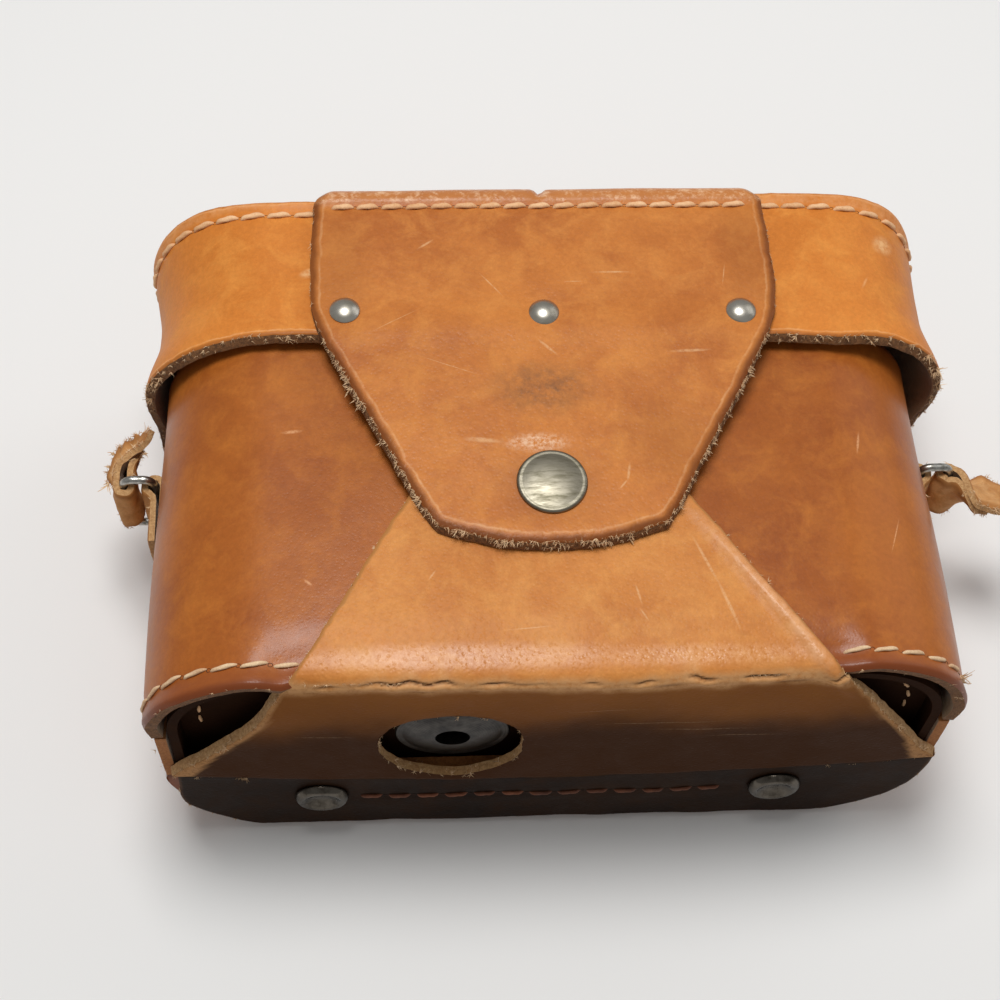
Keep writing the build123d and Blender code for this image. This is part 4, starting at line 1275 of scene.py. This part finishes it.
def make_back_shell():
    """Back, rear corners and side walls, with the flap turned up under the case."""
    shell = case_tube("back_shell_leather", half_width, 0, split_height - 0.4, rim_y, 43.0, 0, rear_radius, 1.6,
                      lambda m, n: n.y > 0.9 or n.z > 0.9)
    flap_top = crease - 0.3
    score(shell, "Z", flap_top)
    remove(shell, lambda m, n: n.y < -0.9 and m.z > flap_top)
    score(shell, "X", *[x + 0.13 for x in range(-72, 73, 2)])
    mould(shell, lambda p: p + Vector((wobble(p, 28, 0.5, 2.0) * ramp(2, 14, p.z), 0, 0)))
    roots = cut_to_thickness(shell, 2.6, [shell_hide, suede, waxed_edge], rounding=0.6, width=1.7, ragged=0.15)
    low = [r for r in roots if r[0].y < -40 and r[0].z > 3]
    shell = fray(shell, low, 80, 0.7, fibre)
    shell = join([shell, make_back_tab()], "back_shell_leather")
    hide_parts("back_shell")
    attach(shell, "half_case")


# The inset panels

def turn_out_flange(panel, facing, rim, half, top):
    """Draw a panel's rim out to the case's edge, then cut the panel finely enough to warp.

    facing is 1 or -1 along y, and rim says whether a face at (x, z) is part of the flange."""
    pick(panel, "FACE", lambda m, n: n.y * facing > 0.9)
    bpy.ops.mesh.inset(thickness=1.8 * mm, depth=0)
    done()
    pick(panel, "FACE", lambda m, n: n.y * facing > 0.9 and rim(abs(m.x), m.z))
    bpy.ops.mesh.extrude_region_move(TRANSFORM_OT_translate={"value": (0, facing * 3.7 * mm, 0)})
    done()
    score(panel, "X", *[x + 0.2 for x in range(-half, half + 1, 3)])
    score(panel, "Z", *[z + 0.1 for z in range(6, top, 3)])


def make_bottom_panel():
    """Dark inset panel under the camera, with a flange turned out to the rim."""
    panel = case_tube("bottom_panel_leather", 69.5, 3.0, 61.5, -45.0, -42.8, 19, 22, 2.2, lambda m, n: False)
    hidden = crease + 1.0
    score(panel, "Z", hidden)

    def rim(x, z):
        corner = x > 50.5 and z > 42.5 and (x - 50.5) ** 2 + (z - 42.5) ** 2 > 17.3 ** 2
        return z > hidden and (x > 67.6 or z > 59.6 or corner)

    turn_out_flange(panel, -1, rim, 66, 60)
    mould(panel, lambda p: p + Vector((0, wobble(p, 12, 0.25, 8.0), 0)) if p.y > -46 else p)
    cover(panel, panel_hide)
    finish(panel, 40)
    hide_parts("bottom_panel")
    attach(panel, "half_case")
    return panel


def make_panel_stitching(panel):
    """Small stitches of the bottom panel, seen in the two front corners."""
    spots = []
    for side in (-1, 1):
        for i in range(8):
            spot, along, _ = round_the_case(44.5 + i * panel_pitch, side, half_width - 8.5, 13.5, 56.0)
            spots.append(((spot.x, -45.0, spot.y), (along.x, 0, along.y), (0, -1, 0)))
    row = sew("panel_stitches", spots, 2.7, 0.65, 0.5, tan_thread, ground=panel, dip=0.3, slant=6)
    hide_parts("panel_stitching")
    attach(row, "half_case")


# The lid

def flare(y, side_share):
    """The band's lower edge stands away from the case, most at its two front corners."""
    return (1 - ramp(band_lower - 1, band_lower + 13, y)) * (0.35 + 2.2 * side_share)


def cut_band():
    """The lid's band as one tube, cut away behind down to the collar and free of the hinge."""
    hinge_top = 20.0
    band = case_tube("lid_band_leather", band_half, 0, band_face, band_lower, lid_rim, band_radius, 27.3, 1.45,
                     lambda m, n: abs(n.y) > 0.9)
    score(band, "Z", band_rear)
    score(band, "Y", collar_y)
    score(band, "X", -hinge_half, hinge_half)
    score(band, "Z", hinge_top)
    remove(band, lambda m, n: m.z < band_rear and m.y < collar_y)
    remove(band, lambda m, n: m.z < hinge_top and abs(m.x) < hinge_half)
    score(band, "Y", band_lower + 0.4, band_lower + 1.0, lid_rim - 0.9, lid_rim - 0.4)
    score(band, "Z", band_rear + 0.5)
    return band


def make_lid_band():
    """Deep band round the front and sides of the lid, and its rear collar."""
    band = cut_band()

    def shape(p):
        side = ramp(52, 74, abs(p.x)) * ramp(34, 54, p.z)
        low = 1 - ramp(band_lower, band_lower + 10, p.y)
        out = Vector((p.x / band_half if abs(p.x) > 48 else 0, 0, max(p.z - 42.5, 0) / 26))
        out = out.normalized() if out.length > 0 else Vector((0, 0, 0))
        move = flare(p.y, side) + wobble(p, 22, 0.5, 7.0) * ramp(44, 30, p.y) + wobble(p, 7, 0.12, 1.0)
        groove = 0.35 * exp(-((p.y - lid_seam) / 0.8) ** 2)
        lip = 0.45 * exp(-((p.y - 48.8) / 1.0) ** 2)
        if p.z < 24:
            move, groove, lip = 0, 0, 0
        corner = ramp(50, 70, abs(p.x)) * ramp(26, 50, p.z)
        high = ramp(36, 49, p.y)
        move += corner * (2.9 + 0.5 * high if p.x > 0 else -0.2 + 2.0 * high)
        rise = high * (1.7 + 0.9 * corner if p.x > 0 else 0.5 + 1.2 * corner) * ramp(20, 40, p.z)
        droop = low * (0.5 if p.x < 0 else -0.5) + low * wobble(p, 14, 0.6, 5.5)
        return p + out * (move - groove + lip) + Vector((0, droop + rise, 0))

    mould(band, shape)
    roots = cut_to_thickness(band, 2.0, [band_hide, suede, brown_edge], rounding=0.2, ragged=0.25,
                             slant=lambda p: 0.6 if p.y < 25 and p.z > 27 else 0.0)
    roots = [r for r in roots if r[0].y < 40 and r[0].z > 25]
    band = fray(band, [r for r in roots if r[0].y < 25], 330, 1.0, fibre)
    band = fray(band, roots, 120, 0.6, fibre)
    torn = [r for r in roots
            if r[0].y < 25 and (abs(r[0].x) > 73 and 44 < r[0].z < 60 or 42.5 < r[0].x < 48)]
    band = fray(band, torn, 70, 1.9, fibre)
    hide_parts("lid_band")
    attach(band, "lid")
    return band


def make_lid_stitching(band):
    """Stitches round the lid's front corners and along its sides, as far as the band is whole."""

    def level(side, spot):
        if spot.y > band_rear + 0.5:
            return 48.1 if side > 0 else 46.8 + 0.9 * ramp(50, 70, abs(spot.x))

    spots, holes = corner_rows([(-1, 44.8), (1, 44.8)], 110, lid_pitch, band_half, band_radius, band_face, level)
    row = sew("lid_stitches", spots, 4.7, 1.15, 0.95, tan_thread, ground=band, dip=0.5, slant=4, lift=0.08)
    row = join([row, needle_holes("lid_needle_holes", holes, 0.6, pricked, band)], "lid_stitches")
    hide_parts("lid_stitching")
    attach(row, "lid")


def make_lid_panel():
    """Inset top of the lid, with a flange turned out to the band's edge."""
    panel = case_tube("lid_panel_leather", 72.6, 2.2, 66.3, 43.6, 45.8, 23.8, 25.1, 2.2, lambda m, n: False)
    foot = 3.2
    score(panel, "Z", foot)
    remove(panel, lambda m, n: m.z < foot)
    pick(panel, "EDGE", lambda m, run: abs(m.z - foot) < 0.01)
    bpy.ops.mesh.edge_face_add()
    done()

    def rim(x, z):
        if z < 20 and x < hinge_half:
            return False
        if z > 42.5 and x > 48.8:
            return (x - 48.8) ** 2 + (z - 42.5) ** 2 > 22.0 ** 2
        if z < 27.3 and x > 47.5:
            return (x - 47.5) ** 2 + (z - 27.3) ** 2 > 23.3 ** 2
        return x > 70.8 or z > 64.5

    turn_out_flange(panel, 1, rim, 69, 64)
    mould(panel, lambda p: p + Vector((0, wobble(p, 18, 0.35, 2.5), 0)) if p.y < 46 else p)
    cover(panel, band_hide)
    finish(panel, 40)
    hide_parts("lid_panel")
    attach(panel, "lid")


def make_hinge_leaf():
    """Leather leaf sewn on the lid's panel, that bends down to the back."""
    half = 44.0
    route = rounded_route([(20.0, 47.8, 0), (0.3, 47.8, 1.6), (0.3, 45.6, 0)])

    def build(x, s):
        spot, _ = spot_on(route, s)
        p = Vector((x, spot.y, spot.x))
        return p + Vector((0, wobble(p, 10, 0.15, 1.0) - 0.25 * exp(-((p.z - hinge_seam) / 0.8) ** 2), 0))

    leaf = lay_sheet("hinge_leaf_leather", shares(88, 1.3), spread(route[1][-1], 1.3),
                     lambda s: -half, lambda s: half, build)
    face_out(leaf, leaf.data.polygons[len(leaf.data.polygons) // 3].normal.y)
    cut_to_thickness(leaf, 2.0, [shell_hide, suede, brown_edge], rounding=0.35, ragged=0.12)
    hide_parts("hinge_leaf")
    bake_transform(leaf)
    return leaf


def make_hinge_stitching(leaf):
    """The row that holds the leaf to the lid's panel."""
    spots = straight_row(-40, pitch, 15, 47.8, hinge_seam, (0, 1, 0))
    row = sew("lid_hinge_stitches", spots, 4.3, 1.0, 0.8, tan_thread, ground=leaf, dip=0.4, slant=5)
    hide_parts("lid_hinge_stitching")
    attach(row, "lid")


def make_back_hinge_stitching():
    """The row that holds the leaf to the back, seen only from inside the case."""
    spots = straight_row(-40, pitch, 15, 38.0, 2.6, (0, 0, 1))
    row = sew("back_hinge_stitches", spots, 4.3, 1.0, 0.8, tan_thread, dip=0.4, slant=5)
    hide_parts("back_hinge_stitching")
    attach(row, "half_case")


# The tongue

tilt = radians(2.1)
tongue_drop = tongue_bend - tongue_end
past_end = 2.0                # the route runs on past the tongue's nominal end
tongue_route = rounded_route([
    (45.9, 62.2, 0), (52.1, 62.2, 3.9), (52.1, tongue_face, 3.9), (tongue_bend, tongue_face, 0),
    (tongue_bend - (tongue_drop + past_end) * cos(tilt), tongue_face - (tongue_drop + past_end) * sin(tilt), 0)])
tongue_length = tongue_route[1][-1] - past_end
last_row = 3.9                # height of the end's corners above its lowest point


def tongue_half(s):
    """Half width of the tongue at a distance along it: straight, knees, taper, corners."""
    up = tongue_length - s
    knee, wide, tip = 47.6, 44.1, 21.0
    if up >= knee:
        return wide - 1.0 * min((up - knee) / 30, 1) - 0.9 * exp(-((up - knee) / 4.0) ** 2)
    taper = tip + (wide - tip) * (up - last_row) / (knee - last_row)
    return taper - 0.9 * exp(-((up - knee) / 4.0) ** 2) - 0.9 * max(1 - (up - last_row) / 4.5, 0) ** 2


def end_sag(x, s):
    """How far a row hangs below its corners, so that the end is a shallow curve."""
    fade = max(1 - (tongue_length - s - last_row) / 16, 0) ** 2
    return max(4.5 - 0.0092 * x * x, 0.2) * fade


def tongue_middle(s):
    """The tongue hangs a little to the left."""
    return -1.1 * ramp(46, 0, tongue_length - s)


def tongue_left(s):
    return tongue_middle(s) - tongue_half(s)


def tongue_right(s):
    return tongue_middle(s) + tongue_half(s)


def make_tongue():
    """The tongue: turned over the lid's edge, riveted to the band, and free below."""

    def build(x, s):
        s += end_sag(x - tongue_middle(s), s)
        spot, out = spot_on(tongue_route, s)
        x *= 1 - 0.045 * ramp(47.3, 51.0, spot.x)
        p = Vector((x, spot.x, spot.y))
        up = tongue_length - s
        nearby = sqrt((x - snap_x) ** 2 + (p.y - snap_y) ** 2)
        pull = 0.5 * exp(-(nearby / 9) ** 2) * (1 if up < 45 else 0)
        soft = wobble(p, 20, 0.55, 3.0) + wobble(p, 8, 0.2, 4.0)
        belt = 0.35 * exp(-((p.y - 19) / 4.0) ** 2) * (1 if p.z > 66 else 0)
        seam = 0.35 * exp(-((p.y - lid_seam) / 0.8) ** 2) * (1 if p.z > 68 else 0)
        curl = 0.5 * ramp(30, 44, abs(x)) * ramp(40, 20, p.y) * (1 if p.z > 60 else 0)
        rivets = sum(0.4 * exp(-(((x - n * rivet_x) ** 2 + (p.y - rivet_y) ** 2) / 14)) for n in (-1, 0, 1))
        lift = soft * 0.55 + belt - pull - seam - curl * 0.6 - rivets * (1 if p.z > 66 else 0)
        roll = 0.5 * ramp(46.9, 48.6, p.y) * (1 if p.z > 64 else 0)
        nick = 1.0 * exp(-((x - 0.2) / 0.8) ** 2) * ramp(47.5, 50, p.y)
        return p + Vector((0, out.x, out.y)) * (lift * 0.8 + roll - nick)

    sheet = lay_sheet("tongue_leather", shares(88, 0.8), spread(tongue_length - last_row, 0.8),
                      tongue_left, tongue_right, build)
    roots = cut_to_thickness(sheet, 2.5, [tongue_hide, suede, brown_edge], rounding=0.6, width=1.9, ragged=0.25,
                             slant=lambda p: 0.4 * (1 - ramp(8, 20, p.y)) if p.z > 60 else 0.0)
    low = [r for r in roots if r[0].y < 16 and r[0].z > 60]
    high = [r for r in roots if 16 <= r[0].y < 47 and r[0].z > 66]
    sheet = fray(sheet, low, 520, 0.95, fibre)
    sheet = fray(sheet, high, 70, 0.4, fibre)
    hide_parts("tongue_base", "tongue_flap")
    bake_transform(sheet)
    return sheet


def make_tongue_stitching(sheet):
    """Tan stitches across the tongue, in line with the lid's row."""
    spots = straight_row(-37.6, tongue_pitch, 17, lid_seam, tongue_face, (0, 0, 1))
    holes = straight_row(-37.6, tongue_pitch, 16, lid_seam, tongue_face, (0, 0, 1), shift=tongue_pitch / 2)
    row = sew("tongue_stitches", spots, 4.35, 1.15, 0.95, tan_thread, ground=sheet, dip=0.5, slant=4, lift=0.08)
    row = join([row, needle_holes("tongue_needle_holes", holes, 0.6, pricked, sheet)], "tongue_stitches")
    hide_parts("tongue_stitching")
    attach(row, "lid")


def make_tongue_rivets():
    """Three tubular rivets: domed caps with a fine flat rim, and their shanks."""
    head = turned("rivet", [
        (1.2, -0.35), (2.75, -0.35), (2.95, -0.2), (3.0, 0.0), (2.88, 0.18), (2.7, 0.3), (2.35, 0.62),
        (1.8, 0.92), (1.2, 1.12), (0.6, 1.22), (0.25, 1.25), (0.0, 1.25)], nickel)
    shank = turned("shank", [(1.2, -4.5), (1.2, -0.2)], nickel, sides=24)
    whole = join([head, shank], "rivet")
    three = [copy_of(whole, Matrix.Translation((n * rivet_x - 0.4, rivet_y + off_line, tongue_face))
                     @ Matrix.Diagonal((0.94, 0.94, 1, 1))) for n, off_line in ((-1, 0.6), (0, -0.3), (1, -0.4))]
    throw_away(whole)
    rivets = finish(join(three, "tongue_rivet_caps"), 40)
    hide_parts("tongue_rivets")
    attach(rivets, "lid")


def make_snap_cap():
    """Plated cap of the snap: a rolled rim, a fine channel and a low crown."""
    cap = turned("snap_cap_plate", [(5.5, -0.4), (6.0, -0.35), (6.25, -0.1), (6.3, 0.15), (6.2, 0.42), (5.95, 0.6),
                                    (5.7, 0.66), (5.45, 0.62), (5.25, 0.66), (4.6, 0.84), (3.6, 1.02), (2.4, 1.16),
                                    (1.2, 1.24), (0.5, 1.26), (0.0, 1.26)], cap_nickel, sides=96)
    out = Vector((0, -sin(tilt), cos(tilt)))
    reach = tongue_bend - snap_y
    place = Vector((snap_x + 0.4, tongue_bend - reach * cos(tilt) + 0.6, tongue_face - reach * sin(tilt)))
    twin = copy_of(cap, standing(place, (1, 0, 0), out))
    throw_away(cap)
    twin.name = "snap_cap_plate"
    finish(twin, 40)
    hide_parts("snap_cap")
    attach(twin, "tongue")


# Rings, tabs and torn strap ends

def make_ring_tab(side):
    """Leather tab looped round the ring's bar and riveted to the side."""
    name = "right" if side > 0 else "left"
    route = rounded_route([
        (half_width, -8.0, 0), (half_width, ring_y + 0.3, 0), (73.6, ring_y + 2.45, 1.0),
        (ring_x + 0.4, ring_y + 2.75, 1.4), (ring_x + 2.6, ring_y + 1.2, 1.4), (ring_x + 2.45, ring_y - 1.4, 1.2),
        (75.75, ring_y - 2.8, 1.2), (75.75, -8.0, 0)])
    total = route[1][-1]

    def half(s):
        return 6.4 - 0.4 * sin(pi * s / total)

    def build(c, s):
        spot, _ = spot_on(route, s)
        p = Vector((side * spot.x, spot.y, ring_z + c))
        return p + Vector((side * wobble(p, 5, 0.2, 2.0), wobble(p, 6, 0.2, 3.0), 0))

    tab = lay_sheet(name + "_tab_leather", shares(13, 0.9), spread(total, 0.9), lambda s: -half(s), half, build)
    outward = sum((p.center.x * side / mm - ring_x) * p.normal.x * side + (p.center.y / mm - ring_y) * p.normal.y
                  for p in tab.data.polygons)
    face_out(tab, outward)
    roots = cut_to_thickness(tab, 1.4, [strap_hide, suede, pale_edge], rounding=0.3, ragged=0.2)
    tab = fray(tab, roots, 30, 0.6, fibre)
    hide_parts(name + "_ring_tab")
    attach(tab, "half_case")


def make_torn_end(side):
    """Torn strap end, doubled round the ring's outer bar, with ragged tails."""
    name = "right" if side > 0 else "left"
    bar = Vector((side * (ring_x + 5.8), ring_y, ring_z))
    aim = radians(-18.0) if side > 0 else radians(90.0)
    long, short = (16.0, 10.0) if side > 0 else (14.0, 9.0)         # its two tails, from the ring's bar
    route = rounded_route([(long, 1.0, 0), (5.0, 2.2, 3.0), (0.0, 2.5, 1.6), (-2.5, 1.6, 1.4), (-2.6, -1.4, 1.4),
                           (0.2, -2.6, 1.4), (4.5, -1.9, 2.0), (short, -1.2, 0)])
    total = route[1][-1]

    def half(s):
        end = min(s, total - s)
        return 6.2 - 1.4 * (1 - ramp(0, 6, end)) + 0.6 * noise.noise(Vector((s / 2.3, side * 4.0, 0)))

    def build(c, s):
        spot, out = spot_on(route, s)
        tear = 1 - ramp(0, 5, min(s, total - s))
        x, y = spot
        x += tear * (1.6 * noise.noise(Vector((c / 1.8, s / 9, 3.0 * side)))
                     + 0.8 * noise.noise(Vector((c / 0.8, 5, side))))
        p = Vector((x, y, c))
        p += out.to_3d() * (0.5 * noise.noise(p / 3.0) + 0.9 * tear * noise.noise(p / 2.6 + Vector((5, 0, 0))))
        twist = radians(60) * ramp(1, 8, p.x) if side > 0 else radians(45) * ramp(2, 12, p.x)
        p.y, p.z = p.y * cos(twist) - p.z * sin(twist), p.y * sin(twist) + p.z * cos(twist)
        if side < 0:
            p.y += 2.4 * sin(twist) - 2.6 * ramp(5, 14, p.x)
        x, y = p.x * cos(aim) - p.y * sin(aim), p.x * sin(aim) + p.y * cos(aim)
        return bar + Vector((x, y, p.z))

    stub = lay_sheet(name + "_strap_end_leather", shares(12.6, 0.8), spread(total, 0.7),
                     lambda s: -half(s), half, build)
    outward = sum((p.center / mm - Vector((bar.x, bar.y, p.center.z / mm))).dot(p.normal)
                  for p in stub.data.polygons if (p.center / mm - bar).length < 5)
    face_out(stub, outward)
    roots = cut_to_thickness(stub, 1.5, [strap_hide, suede, pale_edge], rounding=0.3, ragged=0.35)
    stub = fray(stub, roots, 80, 0.9, fibre)
    torn = [r for r in roots if (r[0] - bar).length > 8.5]
    stub = fray(stub, torn, 80, 2.0, fibre)
    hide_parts(name + "_strap_stub")
    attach(stub, name + "_ring")


def finish_metal_nodes():
    """Give each metal solid of the case the finish of the real one."""
    finishes = {
        "tripod_screw": screw_steel, "screw_retainer": screw_steel, "screw_bush": eyelet_brass,
        "snap_stud": nickel, "snap_post": dull_nickel, "snap_socket": dull_nickel, "snap_spring": wire_steel,
        "rivet_burrs": dull_nickel, "tab_rivets": nickel, "left_ring": wire_steel, "right_ring": wire_steel}
    for node, material in finishes.items():
        cover(frame["nodes"][node], material)


# Floor, light and camera

def lay_floor():
    """Plain pale floor that shows white to the camera and keeps the shadow."""
    put_down()
    bpy.ops.mesh.primitive_plane_add(size=6)
    floor = begin("studio_floor")
    material, tree, shader, _ = new_material("pale studio floor")
    feed(tree, shader, {"Base Color": linear("#e9e8e6"), "Roughness": 0.9})
    cover(floor, material)


def hang_lights():
    """Large soft lamp behind the lid, a weaker one in front, and an even sky."""
    world = bpy.data.worlds.new("studio")
    bpy.context.scene.world = world
    world.use_nodes = True
    tree = world.node_tree
    tree.nodes.clear()
    rays = add(tree, "ShaderNodeLightPath")
    seen = add(tree, "ShaderNodeMath", {
        0: rays.outputs["Is Camera Ray"], 1: rays.outputs["Is Transmission Ray"]}, operation="MAXIMUM").outputs[0]
    light = add(tree, "ShaderNodeBackground", {"Color": (1, 1, 1, 1), "Strength": 0.32})
    white = add(tree, "ShaderNodeBackground", {"Color": (1, 1, 1, 1), "Strength": 1.0})
    both = add(tree, "ShaderNodeMixShader", {0: seen, 1: light.outputs[0], 2: white.outputs[0]})
    add(tree, "ShaderNodeOutputWorld", {"Surface": both.outputs[0]})
    for name, place, size, power in (("window", (-0.06, 0.09, 0.80), 0.30, 4.6),
                                     ("card", (0.5, 0.25, 0.4), 0.45, 0.5)):
        put_down()
        bpy.ops.object.light_add(type="AREA", location=place)
        lamp = bpy.context.object
        lamp.name = name
        lamp.data.size = size
        lamp.data.energy = power
        lamp.rotation_euler = (Vector((0, 0, 0.04)) - Vector(place)).to_track_quat("-Z", "Y").to_euler()


def set_camera():
    """The photograph's view, found from some twenty of the case's own points."""
    put_down()
    bpy.ops.object.camera_add(location=(-0.02751, -0.17781, 0.34658),
                              rotation=(radians(30.107), radians(-2.213), radians(-2.382)))
    camera = bpy.context.object
    camera.name = "photo_view"
    camera.data.sensor_width = 36.0
    camera.data.lens = 65.97
    camera.data.clip_start = 0.01
    bpy.context.scene.camera = camera


set_camera()
hang_lights()
lay_floor()
make_rim_stitching(make_front_shell())
make_wrap()
make_anchor_stitching(make_anchor_strip())
make_anchor_studs()
make_back_shell()
make_panel_stitching(make_bottom_panel())
make_lid_stitching(make_lid_band())
make_lid_panel()
make_hinge_stitching(make_hinge_leaf())
make_back_hinge_stitching()
make_tongue_stitching(make_tongue())
make_tongue_rivets()
make_snap_cap()
for hand in (-1, 1):
    make_ring_tab(hand)
    make_torn_end(hand)
finish_metal_nodes()
note_resting_places()

bpy.context.scene.view_settings.view_transform = "Standard"
put_down()
